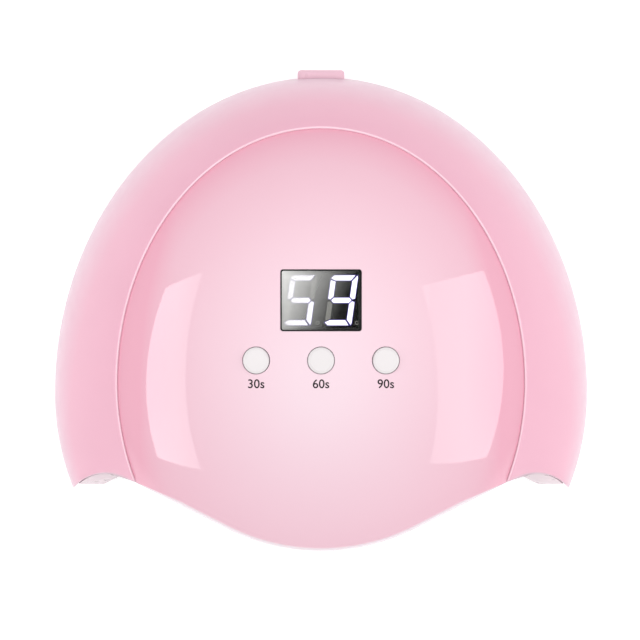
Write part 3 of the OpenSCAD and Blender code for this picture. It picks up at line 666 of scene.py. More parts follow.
# Each one's colour, or None for the design's own, its roughness, and what else sets it apart.
PLASTICS = {
    "white_plastic": ((0.80, 0.77, 0.78), 0.28, {"tone": 0.01}),
    "clear_rubber": (None, 0.55, {"bump": 0.25, "depth": 0.04}),
    "black_foam": ((0.03, 0.03, 0.03), 0.85, {"grain": 2500, "bump": 0.6, "depth": 0.1}),
    "display_black": ((0.006, 0.006, 0.007), 0.6, {"bump": 0.15, "Specular_IOR_Level": 0.15}),
    "button_white": ((0.70, 0.665, 0.67), 0.2, {"spread": 0.04, "bump": 0.03, "tone": 0.012}),
    "black_plastic": ((0.025, 0.025, 0.028), 0.45, {"bump": 0.2, "depth": 0.03}),
    "connector_cream": (None, 0.4, {}),
    "emitter_body": ((0.85, 0.84, 0.78), 0.4, {}),
    "red_wire": (None, 0.4, {"bump": 0.1}),
    "white_wire": (None, 0.4, {"bump": 0.1}),
    "black_wire": (None, 0.4, {"bump": 0.1}),
    # Painted shade: a darker copy of the white plastic, tinted pink, for the pillars' flanges under the
    # pink shell.
    "shaded_white": ((0.68, 0.53, 0.58), 0.3, {"tone": 0.01}),
    # Painted light: a paler copy of the rim's pink, for the socket's frame.
    "tab_pink": ((0.80, 0.52, 0.61), 0.3, {"bump": 0.1, "tone": 0.012}),
    "label_ink": ((0.02, 0.017, 0.019), 0.6, {"bump": 0.1, "Specular_IOR_Level": 0.2}),
}
METALS = {
    "steel": (None, 0.3, {}),
    "contact_metal": (None, 0.25, {}),
    "capacitor_sleeve": (None, 0.32, {}),
    "board_aluminium": (None, 0.38, {}),
    "mirror_cup": ((0.86, 0.87, 0.89), 0.08, {"bump": 0.02}),
}


def build_materials():
    made = {
        "gloss_pink": gloss_pink(),
        "satin_pink": satin_pink(),
        "smoked_window": smoked_window(),
        "digit_lit": lit("digit_lit", (0.97, 0.94, 1.0), 2.6),
        "digit_glow": lit("digit_glow", (0.06, 0.04, 0.32), 1.0),
        # Painted light: the unlit bars get a faint grey glow.
        "digit_unlit": lit("digit_unlit", (0.30, 0.30, 0.27), 0.5),
        "board_green": board("board_green", SLOT_COLOURS["board_green"][:3]),
        "clear_lens": clear("clear_lens", (0.93, 0.93, 1.0)),
    }
    for kind, group in ((plastic, PLASTICS), (metal, METALS)):
        for name, (colour, rough, more) in group.items():
            made[name] = kind(name, colour or SLOT_COLOURS[name], rough, **more)
    return made


MATERIALS = build_materials()

for node, piece in frame["nodes"].items():
    piece.data.materials.clear()
    piece.data.materials.append(MATERIALS[NODE_SLOTS[node]])


# ---------------------------------------------------------------- rim

def rim_profile(column):
    """The rim's section on one column as two equal runs of [inward distance, height]: outside, inside."""
    def spot(d):
        s = d / BAND_W
        start = end_angle(s)
        return oval(mix(start, math.pi - start, column / RIM_COLUMNS), s)

    top = dome(*spot(BAND_W)) + RIM_STEP
    ledge = {d: dome(*spot(d), PANEL_T + GAP)
             for d in (BAND_W - LEDGE_ROOT, BAND_W, BAND_W + LEDGE_W)}
    fall = BAND_W / 2 * math.tan(SLOPE)

    def skin(offset):
        turn = offset * np.array([math.sin(SLOPE), -math.cos(SLOPE)])
        return [np.array([offset, WAIST_Z]), np.array([offset, mix(WAIST_Z, top, SKIN_LIFT)]),
                np.array([BAND_W / 2, top - fall]) + turn, np.array([BAND_W, top]) + turn]

    def skirt(offset):
        bottom = [np.array(p) + (offset, 0) for p in SKIRT]
        return [curve(bottom, i / SKIRT_STEPS) for i in range(SKIRT_STEPS)]

    outside = skirt(0)
    outside[0] = outside[0] + (FOOT_INSETS[0], 0)
    outside.insert(1, np.array([TUCK + FOOT_INSETS[1], RIM_BOTTOM_Z + FOOT_INSETS[1]]))
    outer = skin(0)
    last = 1 - LIP_BACK / BAND_W
    outside += [curve(outer, last * i / CURVE_STEPS) for i in range(CURVE_STEPS + 1)]
    edge, corner = outside[-1], np.array([BAND_W - LIP_BACK / 4, top])
    foot = np.array([BAND_W, top - RIM_STEP + SEAM])
    outside += [mix(mix(edge, corner, t), mix(corner, foot, t), t)
                for t in (i / FILLET_STEPS for i in range(1, FILLET_STEPS + 1))]
    outside += [np.array([BAND_W, ledge[BAND_W]]), np.array([BAND_W + LEDGE_W, ledge[BAND_W + LEDGE_W]])]

    inside = skirt(RIM_T)
    inside.insert(0, inside[0].copy())
    inner = skin(RIM_T)
    inside += [curve(inner, INSIDE_REACH * i / CURVE_STEPS) for i in range(CURVE_STEPS + 1)]
    low = np.array([BAND_W - LEDGE_ROOT, ledge[BAND_W - LEDGE_ROOT] - LEDGE_T])
    inside += [mix(inside[-1], low, i / FILLET_STEPS) for i in range(1, FILLET_STEPS + 1)]
    end = np.array([BAND_W + LEDGE_W, ledge[BAND_W + LEDGE_W] - LEDGE_T])
    inside += [mix(low, end, 0.5), end]
    return outside, inside


def drawn_in(loop, amount):
    """A closed loop of section points moved towards its inside."""
    n = len(loop)
    turn = sum(loop[i][0] * loop[(i + 1) % n][1] - loop[(i + 1) % n][0] * loop[i][1] for i in range(n))
    side = 1 if turn > 0 else -1
    moved = []
    for i in range(n):
        along = loop[(i + 1) % n] - loop[i - 1]
        size = np.linalg.norm(along)
        if size < 1e-6:
            moved.append(loop[i])
            continue
        moved.append(loop[i] + amount * side * np.array([-along[1], along[0]]) / size)
    return moved


def rim_loop(column, back=0.0, amount=0.0):
    """One loop of the rim in space, a distance back from its column and drawn in by an amount."""
    outside, inside = rim_profile(column)
    loop = outside + inside[::-1]
    if amount:
        loop = drawn_in(loop, amount)
    points = []
    for d, z in loop:
        s = d / BAND_W
        start = end_angle(s) + (LEDGE_BACK / PANEL_HALF_W if d > BAND_W + LIP_BACK else 0)
        angle = mix(start, math.pi - start, column / RIM_COLUMNS)
        if back:
            angle += (back if column == 0 else -back) / mix(RIM_HALF_W, PANEL_HALF_W, s)
        x, y = oval(angle, s)
        points.append((x, y, z))
    return points


def make_rim():
    rounds = [math.radians(90 * i / END_STEPS) for i in range(END_STEPS + 1)]
    ends = [(END_R * (1 - math.cos(a)), END_R * (1 - math.sin(a))) for a in rounds]
    loops = [rim_loop(0, back, amount) for back, amount in ends]
    loops += [rim_loop(k) for k in range(1, RIM_COLUMNS)]
    loops += [rim_loop(RIM_COLUMNS, back, amount) for back, amount in reversed(ends)]
    n = len(loops[0])
    verts = [p for loop in loops for p in loop]
    faces = strips([range(k * n, (k + 1) * n) for k in range(len(loops))])
    for base in (0, (len(loops) - 1) * n):
        faces += [(base + j, base + j + 1, base + n - 2 - j, base + n - 1 - j) for j in range(n // 2 - 1)]
    rim = piece_from("rim_cover", verts, faces, "housing", "satin_pink", 45, ["rim_housing"])
    low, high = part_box("jack_bezel")
    cut(rim, socket_cutter(low - Vector((BEZEL_GAP, CUT_INWARD, BEZEL_GAP)) * MM,
                           high + Vector((BEZEL_GAP, CUT_OUTWARD, BEZEL_GAP)) * MM))


def socket_cutter(low, high):
    """A box with its long edges rounded."""
    bm = bmesh.new()
    bmesh.ops.create_cube(bm, size=1)
    size, middle = high - low, (high + low) / 2
    bmesh.ops.scale(bm, vec=size, verts=bm.verts)
    bmesh.ops.translate(bm, vec=middle, verts=bm.verts)
    edges = [e for e in bm.edges if abs((e.verts[0].co - e.verts[1].co).normalized().y) > 0.9]
    bmesh.ops.bevel(bm, geom=edges, offset=BEZEL_CORNER_R * MM, segments=5, affect="EDGES", profile=0.5)
    return link("socket_cutter", mesh_from("socket_cutter", bm))


def cut(piece, cutter):
    """Takes the cutter away from the piece and removes the cutter."""
    material = piece.data.materials[0]
    tool = piece.modifiers.new("cut", "BOOLEAN")
    tool.operation = "DIFFERENCE"
    tool.solver = "EXACT"
    tool.object = cutter
    bpy.context.view_layer.update()
    graph = bpy.context.evaluated_depsgraph_get()
    mesh = bpy.data.meshes.new_from_object(piece.evaluated_get(graph))
    piece.modifiers.remove(tool)
    piece.data = mesh
    mesh.materials.clear()
    mesh.materials.append(material)
    bpy.data.objects.remove(cutter)


def make_socket_bezel():
    """The pink frame round the socket, with a wide rounding on the outline of its rear face."""
    source = frame["nodes"]["jack_bezel"]
    low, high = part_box("jack_bezel")
    middle_z = (low.z + high.z) / 2
    bm = merged_copy(source)
    rear = [e for e in bm.edges
            if all(v.co.y > high.y - 1e-6 and math.hypot(v.co.x, v.co.z - middle_z) > SOCKET_R * MM
                   for v in e.verts)]
    bmesh.ops.bevel(bm, geom=rear, offset=BEZEL_EDGE_R * MM, segments=6, affect="EDGES", profile=0.5)
    piece = finished(link("socket_bezel", mesh_from("socket_bezel", bm)), source["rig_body"],
                     NODE_SLOTS["jack_bezel"], 50, ["jack_bezel"])
    # Painted light: the frame takes the paler copy of the pink.
    piece.data.materials[0] = MATERIALS["tab_pink"]


# ---------------------------------------------------------------- top panel and window

def rounded_outline(half_w, half_h, r, middle, steps=8, side_steps=12):
    """A rounded rectangle, with points along its straight sides too, so that it can follow the dome."""
    arcs = []
    for turn, (sx, sy) in enumerate(((1, 1), (-1, 1), (-1, -1), (1, -1))):
        angles = [math.radians(90 * turn + 90 * i / steps) for i in range(steps + 1)]
        arcs.append([(middle[0] + sx * (half_w - r) + r * math.cos(a),
                      middle[1] + sy * (half_h - r) + r * math.sin(a)) for a in angles])
    points = []
    for arc, following in zip(arcs, arcs[1:] + arcs[:1]):
        (ax, ay), (bx, by) = arc[-1], following[0]
        points += arc
        points += [(mix(ax, bx, i / side_steps), mix(ay, by, i / side_steps))
                   for i in range(1, side_steps)]
    return points


def panel_outline():
    """The panel's outline, anticlockwise from the right front corner, and where its visor starts."""
    half_w, back = PANEL_HALF_W - SEAM, PANEL_BACK - SEAM

    def edge(angle):
        reach = back if math.sin(angle) > 0 else PANEL_FRONT
        return half_w * math.cos(angle), PANEL_Y + reach * math.sin(angle)

    start, count, front_count = front_crossing(edge, 40), 300, 200
    side = [edge(mix(start, math.pi - start, i / count)) for i in range(count + 1)]
    corner_x = side[0][0]
    visor = [(x, front_y(x))
             for x in (mix(-corner_x, corner_x, i / front_count) for i in range(1, front_count))]
    return side + visor, len(side)


def inward(outline, distances):
    """The outline moved inwards by a distance at each point; an outline that runs anticlockwise."""
    n = len(outline)
    moved = []
    for i in range(n):
        ax, ay = outline[i - 1]
        bx, by = outline[i]
        cx, cy = outline[(i + 1) % n]
        u = unit(np.array([bx - ax, by - ay]))
        v = unit(np.array([cx - bx, cy - by]))
        miter = unit(np.array([-u[1] - v[1], u[0] + v[0]]))
        stretch = 1 / max(0.5, float(np.dot(miter, [-u[1], u[0]])))
        moved.append((bx + miter[0] * distances[i] * stretch, by + miter[1] * distances[i] * stretch))
    return moved


def inside(point, outline):
    x, y = point
    hit = False
    for (ax, ay), (bx, by) in zip(outline, outline[1:] + outline[:1]):
        if (ay > y) != (by > y) and x < (bx - ax) * (y - ay) / (by - ay) + ax:
            hit = not hit
    return hit


def near_any(points, rings, distance):
    """Which points lie within a distance of any ring's points."""
    ring = np.array([p for r in rings for p in r])
    return [float(np.min(np.hypot(ring[:, 0] - x, ring[:, 1] - y))) < distance for x, y in points]


def filled(outer, holes, step):
    """Points and triangles of a flat area between an outline and its holes, on an even grid."""
    xs = [p[0] for p in outer]
    ys = [p[1] for p in outer]
    grid = []
    row = 0
    y = min(ys)
    while y < max(ys):
        x = min(xs) + (step / 2 if row % 2 else 0)
        while x < max(xs):
            grid.append((x, y))
            x += step
        y += step * math.sqrt(3) / 2
        row += 1
    grid = [p for p in grid if inside(p, outer) and not any(inside(p, h) for h in holes)]
    close = near_any(grid, [outer, *holes], step * 0.45)
    grid = [p for p, c in zip(grid, close) if not c]
    points, edges = [], []
    for ring in (outer, *holes):
        start = len(points)
        points += ring
        edges += [(start + i, start + (i + 1) % len(ring)) for i in range(len(ring))]
    fixed = len(points)
    points += grid
    result = delaunay_2d_cdt([Vector(p) for p in points], edges, [], 0, 1e-7)
    out, triangles, origin = result[0], result[2], result[3]
    if len(out) != len(points):
        raise ValueError("the outline crosses itself")
    order = {i: origin[i][0] for i in range(len(out))}
    kept = []
    for tri in triangles:
        tri = [order[i] for i in tri]
        cx = sum(points[i][0] for i in tri) / 3
        cy = sum(points[i][1] for i in tri) / 3
        if inside((cx, cy), outer) and not any(inside((cx, cy), h) for h in holes):
            kept.append(tuple(tri))
    return points, kept, fixed


def domed_plate(name, outline, rounding, holes, thickness, top_depth, slot, replaces, seats=()):
    """A plate that follows the dome, with rounded upper edges.

    outline and each hole run anticlockwise. rounding gives a radius at each point of the outline; each
    hole is (ring, radius). seats gives for a hole its depth and a smaller ring through the rest.
    """
    verts, normals, faces = [], [], []

    def add(ring, drop=None, depth=None, normal=None):
        start = len(verts)
        for i, (x, y) in enumerate(ring):
            z = dome(x, y, top_depth) - drop[i] if depth is None else dome(x, y, depth)
            verts.append((x, y, z))
            normals.append(tuple(normal[i]) if normal is not None else (0, 0, 0))
        return list(range(start, start + len(ring)))

    def rounded_edge(ring, radii, way):
        """Rings from the wall to the top, and the flat ring that the top is filled from."""
        n = len(ring)
        made = []
        for step in range(FILLET_STEPS + 1):
            a = math.radians(90 * step / FILLET_STEPS)
            moved = inward(ring, [way * r * (1 - math.cos(a)) for r in radii])
            normal = []
            for i in range(n):
                ax, ay = ring[i - 1]
                cx, cy = ring[(i + 1) % n]
                out = way * unit(np.array([cy - ay, ax - cx, 0]))
                up = dome_normal(*moved[i])
                normal.append(unit(math.cos(a) * out + math.sin(a) * up))
            made.append((moved, add(moved, [r * (1 - math.sin(a)) for r in radii], None, normal)))
        return made

    edge = rounded_edge(outline, rounding, 1)
    hole_edges = [rounded_edge(ring, [r] * len(ring), -1) for ring, r in holes]
    for rings in (edge, *hole_edges):
        faces.extend(strips([indices for _, indices in rings]))
    top_outer, top_holes = edge[-1][0], [rings[-1][0] for rings in hole_edges]
    points, triangles, fixed = filled(top_outer, top_holes, GRID_STEP)
    index = edge[-1][1] + [i for rings in hole_edges for i in rings[-1][1]]
    grid = points[fixed:]
    index += add(grid, [0] * len(grid), None, [dome_normal(*p) for p in grid])
    faces.extend(tuple(index[i] for i in tri) for tri in triangles)

    below = top_depth + thickness
    low_outer = add(outline, depth=below, normal=[normals[i] for i in edge[0][1]])
    faces.extend(strips([edge[0][1], low_outer]))
    low_index, low_holes = list(low_outer), []
    for number, (ring, _) in enumerate(holes):
        wall = [hole_edges[number][0][1]]
        low_ring = ring
        if number < len(seats):
            depth, low_ring = seats[number]
            wall += [add(ring, depth=top_depth + depth), add(low_ring, depth=top_depth + depth)]
        wall.append(add(low_ring, depth=below))
        faces.extend(strips(wall))
        low_index += wall[-1]
        low_holes.append(low_ring)
    upper_faces = len(faces)
    points, triangles, fixed = filled(outline, low_holes, GRID_STEP * 2)
    grid = points[fixed:]
    low_index += add(grid, depth=below)
    faces.extend(tuple(low_index[i] for i in reversed(tri)) for tri in triangles)

    piece = piece_from(name, verts, faces, "housing", slot, 40, replaces)
    piece.data.normals_split_custom_set([
        normals[v] if face.index < upper_faces else tuple(-dome_normal(*verts[v][:2]))
        for face in piece.data.polygons for v in face.vertices])


def ring_of(x, y, r, count=72):
    return [(x + r * math.cos(2 * math.pi * i / count), y + r * math.sin(2 * math.pi * i / count))
            for i in range(count)]


def make_panel():
    outline, side_count = panel_outline()
    n = len(outline)

    def radius(i):
        """Wide along the visor and small at the joint, with a short run from one to the other."""
        past = min(i - side_count, n - 1 - i) + 1 if i >= side_count else 0
        return mix(JOINT_EDGE_R, VISOR_EDGE_R, min(1, past / EDGE_RUN))

    half_w, half_h = (c / 2 for c in LENS_SIZE)
    opening = rounded_outline(half_w + LENS_GAP, half_h + LENS_GAP, LENS_CORNER_R, (0, LENS_Y))
    seat = rounded_outline(half_w - SEAT_W, half_h - SEAT_W, SEAT_CORNER_R, (0, LENS_Y))
    holes = [(opening, OPENING_EDGE_R)]
    holes += [(ring_of(x, BUTTON_Y, HOLE_R), HOLE_EDGE_R) for x in KEYS.values()]
    domed_plate("panel_cover", outline, [radius(i) for i in range(n)], holes, PANEL_T, 0,
                "gloss_pink", ["top_panel"], [(SEAT_DEPTH, seat)])


def make_window():
    half_w, half_h = (c / 2 for c in LENS_SIZE)
    outline = rounded_outline(half_w, half_h, LENS_CORNER_R, (0, LENS_Y))
    domed_plate("window_lens", outline, [LENS_EDGE_R] * len(outline), [], LENS_T - LENS_SUNK, LENS_SUNK,
                "smoked_window", ["display_lens"])


def make_window_border():
    """An opaque black band round the edge of the window, near its top face."""
    half_w, half_h = (c / 2 for c in LENS_SIZE)
    outer = rounded_outline(half_w - BORDER_INSET, half_h - BORDER_INSET, LENS_CORNER_R, (0, LENS_Y))
    inset = BORDER_INSET + BORDER_W
    inner = rounded_outline(half_w - inset, half_h - inset, BORDER_CORNER_R, (0, LENS_Y))
    verts = [(x, y, dome(x, y, depth)) for depth in BORDER_DEPTHS for ring in (outer, inner)
             for x, y in ring]
    n = len(outer)
    loops = [range(k * n, (k + 1) * n) for k in (0, 1, 3, 2, 0)]
    piece_from("window_border", verts, strips(loops), "housing", "display_black", 60)


# ---------------------------------------------------------------- buttons and labels

def make_button(key, x):
    node = "button_" + key
    low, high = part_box(node)
    base, top = low.z / MM, high.z / MM
    flange_r = (high.x - low.x) / 2 / MM
    side = top - CAP_EDGE_DROP
    flange_top = base + KEY_FLANGE_T
    profile = [(0, base), (flange_r - KEY_CHAMFER, base), (flange_r, base + KEY_CHAMFER),
               (flange_r, flange_top - KEY_CHAMFER), (flange_r - KEY_CHAMFER, flange_top),
               (CAP_R + 0.2, flange_top), (CAP_R, flange_top + 0.2)]
    edge_steps, crown_steps = 6, 8
    for i in range(edge_steps + 1):
        a = math.radians(90 * i / edge_steps)
        profile.append((CAP_R - CAP_EDGE_R * (1 - math.cos(a)), side + CAP_EDGE_R * math.sin(a)))
    crown = top - side - CAP_EDGE_R - 0.02
    for i in range(1, crown_steps + 1):
        a = math.radians(90 * i / crown_steps)
        profile.append(((CAP_R - CAP_EDGE_R) * math.cos(a), side + CAP_EDGE_R + crown * math.sin(a)))
    profile[-1] = (0, profile[-1][1])
    verts, faces = lathe(profile, (x, BUTTON_Y))
    piece_from("key_cap_" + key, verts, faces, "key_" + key, "button_white", 50, [node])


def make_label(text, x):
    """A printed mark that lies on the dome."""
    source = bpy.data.curves.new("mark", "FONT")
    source.body = text
    source.align_x = "CENTER"
    source.resolution_u = 6
    source.offset = LABEL_SPREAD
    maker = link("mark", source)
    graph = bpy.context.evaluated_depsgraph_get()
    mesh = bpy.data.meshes.new_from_object(maker.evaluated_get(graph))
    bpy.data.objects.remove(maker)
    bpy.data.curves.remove(source)
    corners = np.array([v.co for v in mesh.vertices])
    tall = corners[:, 1].max() - corners[:, 1].min()
    middle = (corners.max(0) + corners.min(0)) / 2
    scale = LABEL_H / tall
    bm = bmesh.new()
    bm.from_mesh(mesh)
    bmesh.ops.remove_doubles(bm, verts=bm.verts, dist=1e-5)
    bmesh.ops.triangulate(bm, faces=bm.faces)
    top = bmesh.ops.extrude_face_region(bm, geom=list(bm.faces))
    raised = {v for v in top["geom"] if isinstance(v, bmesh.types.BMVert)}
    for v in bm.verts:
        px = x + (v.co.x - middle[0]) * scale
        py = LABEL_Y + (v.co.y - middle[1]) * scale
        v.co = Vector((px, py, dome(px, py) + (INK if v in raised else -INK))) * MM
    bmesh.ops.recalc_face_normals(bm, faces=bm.faces)
    bm.to_mesh(mesh)
    bm.free()
    piece = link("label_" + text, mesh)
    piece.data.materials.clear()
    piece.data.materials.append(MATERIALS["label_ink"])
    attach(piece, "housing")


# ---------------------------------------------------------------- hand bay liner

def bay_oval(angle, half_w, y, back, front):
    return (half_w * math.cos(angle), y + (back if math.sin(angle) > 0 else front) * math.sin(angle))


def shoulder(angle):
    return bay_oval(angle, SHOULDER_HALF_W, SHOULDER_Y, SHOULDER_BACK, SHOULDER_FRONT)


def lip_depth(x):
    return LIP_T + LIP_DROP * min(1, max(0, (abs(x) - LIP_DROP_X) / LIP_DROP_W))


TURN = math.radians(BAY_TURN)
SHOULDER_Z = dome(*shoulder(-TURN), lip_depth(BAY_HALF_W))


def wall_point(angle, m):
    """Bay side of the wall: m is 0 at the base ring and 1 at the shoulder."""
    low = bay_oval(angle, BAY_HALF_W, RIM_Y, BAY_BACK, BAY_FRONT)
    high = shoulder(angle)
    lean = max(0, m) ** WALL_LEAN
    return np.array([mix(low[0], high[0], lean), mix(low[1], high[1], lean), mix(WALL_Z, SHOULDER_Z, m)])


def roof_from(start, w):
    """Bay side of the roof: w is 0 at its start and 1 over the middle of the bay."""
    return np.array([mix(start[0], BAY_CROWN[0], w), mix(start[1], BAY_CROWN[1], w),
                     mix(start[2], ROOF_Z, 1 - (1 - w) ** ROOF_ROUND)])


def roof_start(turn):
    """Where the roof starts: turn runs from 0 to 1 along the shoulder and on to 2 along the visor."""
    if turn <= 1:
        x, y = shoulder(mix(-TURN, math.pi + TURN, turn))
        return x, y, SHOULDER_Z
    corner = shoulder(-TURN)
    x = -corner[0] * math.cos(math.pi * (turn - 1))
    y = front_y(x) + mix(FRONT_INSET, corner[1] - front_y(corner[0]), (abs(x) / corner[0]) ** 6)
    return x, y, dome(x, y, lip_depth(x))


def outward(p):
    d = p - BAY_MIDDLE
    deep = BAY_AXES[1] if d[1] > 0 else BAY_FRONT_AXIS
    return unit(np.array([d[0] / BAY_AXES[0] ** 2, d[1] / deep ** 2, d[2] / BAY_AXES[2] ** 2]))


def frame_at(p, du, dv):
    x = unit(du)
    n = unit(np.cross(du, dv))
    y = np.cross(n, x)
    return Matrix([[x[i], y[i], n[i], p[i] * MM] for i in range(3)] + [[0, 0, 0, 1]])


def led_frames():
    """Frames that stand on the liner at each emitter, with Z pointing into the lamp's wall."""
    def roof(a, w):
        return roof_from((*shoulder(a), SHOULDER_Z), w)

    def front(x, w):
        y = front_y(x) + FRONT_INSET
        return roof_from((x, y, dome(x, y, lip_depth(x))), w)

    degree, rise = math.radians(1), 0.02
    rows = ((wall_point, [math.radians(d) for d in WALL_LEDS], WALL_LED_M, degree),
            (roof, [math.radians(d) for d in ROOF_LEDS], ROOF_LED_W, degree),
            (front, FRONT_LEDS, FRONT_LED_W, 1))
    return [frame_at(surface(u, v), surface(u - near, v) - surface(u + near, v),
                     surface(u, v - rise) - surface(u, v + rise))
            for surface, places, v, near in rows for u in places]


def liner_shell():
    """Bay side and outer side of the liner, joined round its open edge."""
    columns = LINER_COLUMNS + LINER_FRONT_COLUMNS

    def turn(k):
        return k / LINER_COLUMNS if k <= LINER_COLUMNS else 1 + (k - LINER_COLUMNS) / LINER_FRONT_COLUMNS

    starts = [roof_start(turn(k)) for k in range(columns)]
    bay = [roof_from(starts[k], 1 - (1 - r / LINER_ROWS) ** 1.3)
           for r in range(LINER_ROWS) for k in range(columns)]
    crown = len(bay)
    bay.append(np.array([*BAY_CROWN, ROOF_Z]))
    wall = len(bay)
    per_row = LINER_COLUMNS + 1
    bay += [wall_point(mix(-TURN, math.pi + TURN, k / LINER_COLUMNS), r / LINER_ROWS)
            for r in range(LINER_ROWS - 1, -1, -1) for k in range(per_row)]

    def wall_at(row, k):
        return k if row == 0 else wall + (row - 1) * per_row + k

    faces = []
    for r in range(LINER_ROWS - 1):
        faces += [(r * columns + k, (r + 1) * columns + k, (r + 1) * columns + (k + 1) % columns,
                   r * columns + (k + 1) % columns) for k in range(columns)]
    last = (LINER_ROWS - 1) * columns
    faces += [(last + k, crown, last + (k + 1) % columns) for k in range(columns)]
    for r in range(LINER_ROWS):
        faces += [(wall_at(r + 1, k), wall_at(r, k), wall_at(r, k + 1), wall_at(r + 1, k + 1))
                  for k in range(LINER_COLUMNS)]
    rim = ([wall_at(LINER_ROWS, k) for k in range(per_row)]
           + [wall_at(r, LINER_COLUMNS) for r in range(LINER_ROWS - 1, 0, -1)]
           + list(range(LINER_COLUMNS, columns)) + [0] + [wall_at(r, 0) for r in range(1, LINER_ROWS)])
    half = len(bay)
    outer = [p + LINER_T * outward(p) for p in bay]
    faces += [tuple(i + half for i in reversed(f)) for f in faces]
    faces += [(a, b, b + half, a + half) for a, b in zip(rim, rim[1:] + rim[:1])]
    return bay + outer, faces


def rim_inner_at(z):
    """The point of the rim's inner skin at its front end, at a height."""
    _, profile = rim_profile(0)
    for a, b in zip(profile[1:], profile[2:]):
        if b[1] > z:
            break
    d = mix(a[0], b[0], (z - a[1]) / (b[1] - a[1]))
    return oval(end_angle(d / BAND_W), d / BAND_W)


def along_rim(t):
    """A point under the rim's inner skin at its front end, from the shoulder's height to the ledge."""
    _, profile = rim_profile(0)
    upper = [p for p in profile[1:] if p[1] > SHOULDER_Z + 1]
    place = t * (len(upper) - 2)
    k = int(place)
    d, z = mix(upper[k], upper[k + 1], place - k)
    return (*oval(end_angle(d / BAND_W), d / BAND_W), z)


def pillar_flange(side):
    """The flange that closes the front of a hollow pillar and the shoulder over it, its edge rounded."""
    r = FLANGE_R
    loops = []

    def add(a, b, inner_z, outer_z):
        """One loop between two points seen from above, at a height over each."""
        x0, y0 = a[0], a[1] - FLANGE_OUT
        x1, y1 = b[0] - FLANGE_GAP, b[1] - 0.2
        loops.append([(x0, y0 + r, inner_z), (x0 + r * 0.3, y0 + r * 0.3, inner_z), (x0 + r, y0, inner_z),
                      (x1, y1, outer_z), (x1, y1 + LINER_T, outer_z), (x0 + 0.4, y0 + LINER_T, inner_z)])

    for i in range(FLANGE_ROWS + 1):
        z = mix(WALL_Z, SHOULDER_Z + 1, i / FLANGE_ROWS)
        add(wall_point(-TURN, min(1, (z - WALL_Z) / (SHOULDER_Z - WALL_Z))), rim_inner_at(z), z, z)
    corner = shoulder(-TURN)
    for i in range(1, CAP_ROWS + 1):
        t = i / CAP_ROWS
        x = mix(corner[0], CAP_END_X, t)
        y = front_y(x) + mix(FRONT_INSET, corner[1] - front_y(corner[0]), (x / corner[0]) ** 6)
        low = mix(SHOULDER_Z + 1, dome(x, y, lip_depth(x)) + CAP_RISE, min(1, 3 * t))
        b = along_rim(t)
        add((x, y), b, low, b[2] - FLANGE_GAP)
    for i in range(1, CAP_ROWS + 1):
        x = mix(CAP_END_X, LIP_DROP_X - 2, i / CAP_ROWS)
        y = front_y(x) + FRONT_INSET
        add((x, y), (x + FLANGE_GAP + 0.1, y - 0.3), dome(x, y, lip_depth(x)) + CAP_RISE,
            dome(x, y, PANEL_T + 0.1))
    n = len(loops[0])
    verts = [(side * x, y, z) for loop in loops for x, y, z in loop]
    faces = strips([range(k * n, (k + 1) * n) for k in range(len(loops))])
    faces += [tuple(range(n)), tuple(range((len(loops) - 1) * n, len(loops) * n))]
    return verts, faces


def cup_cutter(frames_and_radii):
    bm = bmesh.new()
    low, high = CUP_CUT
    middle = Matrix.Translation((0, 0, (low + high) / 2 * MM))
    for place, r in frames_and_radii:
        bmesh.ops.create_cone(bm, cap_ends=True, segments=40, radius1=r * MM, radius2=r * MM,
                              depth=(high - low) * MM, matrix=place @ middle)
    return link("cup_cutter", mesh_from("cup_cutter", bm))


def make_liner():
    verts, faces = liner_shell()
    liner = piece_from("bay_liner", verts, faces, "housing", "white_plastic", 35, ["inner_liner"])
    places = [(place, CUP_R + 0.1) for place in led_frames()]
    for x in (-BULB_X, BULB_X):
        places.append((Matrix.Translation(Vector((x, SENSOR_Y, ROOF_Z)) * MM), BULB_HOLE_R))
    cut(liner, cup_cutter(places))
    liner.data.set_sharp_from_angle(angle=math.radians(35))
    for side, name in ((1, "pillar_right"), (-1, "pillar_left")):
        verts, faces = pillar_flange(side)
        flange = piece_from(name, verts, faces, "housing", "white_plastic", 35)
        # Painted shade: the flanges take the darker, pink-tinted copy of the white plastic.
        flange.data.materials[0] = MATERIALS["shaded_white"]


# ---------------------------------------------------------------- lit digits

def bar_outlines():
    """The seven bars of a digit, a to g, before it leans. Right bars and left tips take the corners."""
    w, h, t, g = DIGIT_W / 2, DIGIT_H / 2, STROKE, BAR_GAP
    a = [(-w, h - t * 0.55), (-w + t * 0.9, h - t), (w - t - g * 1.5, h - t), (w - t * 0.35 - g, h),
         (-w + t * 0.6, h)]
    b = [(w - t * 0.5, g), (w, t * 0.35), (w, h - t * 0.4), (w - t * 0.12, h - 0.1),
         (w - t, h - t - g * 0.5), (w - t, t / 2 + g)]
    f = [(-w + t * 0.45, g), (-w + t, t / 2 + g), (-w + t, h - t - g), (-w, h - t * 0.7 - g),
         (-w, t * 0.35)]
    middle = [(-w + t * 0.45 + g, 0), (-w + t + g * 0.6, -t / 2), (w - t - g * 0.6, -t / 2),
              (w - t * 0.45 - g, 0), (w - t - g * 0.6, t / 2), (-w + t + g * 0.6, t / 2)]

    def below(bar):
        return [(x, -y) for x, y in reversed(bar)]

    return {"a": a, "b": b, "c": below(b), "d": below(a), "e": below(f), "f": f, "g": middle}


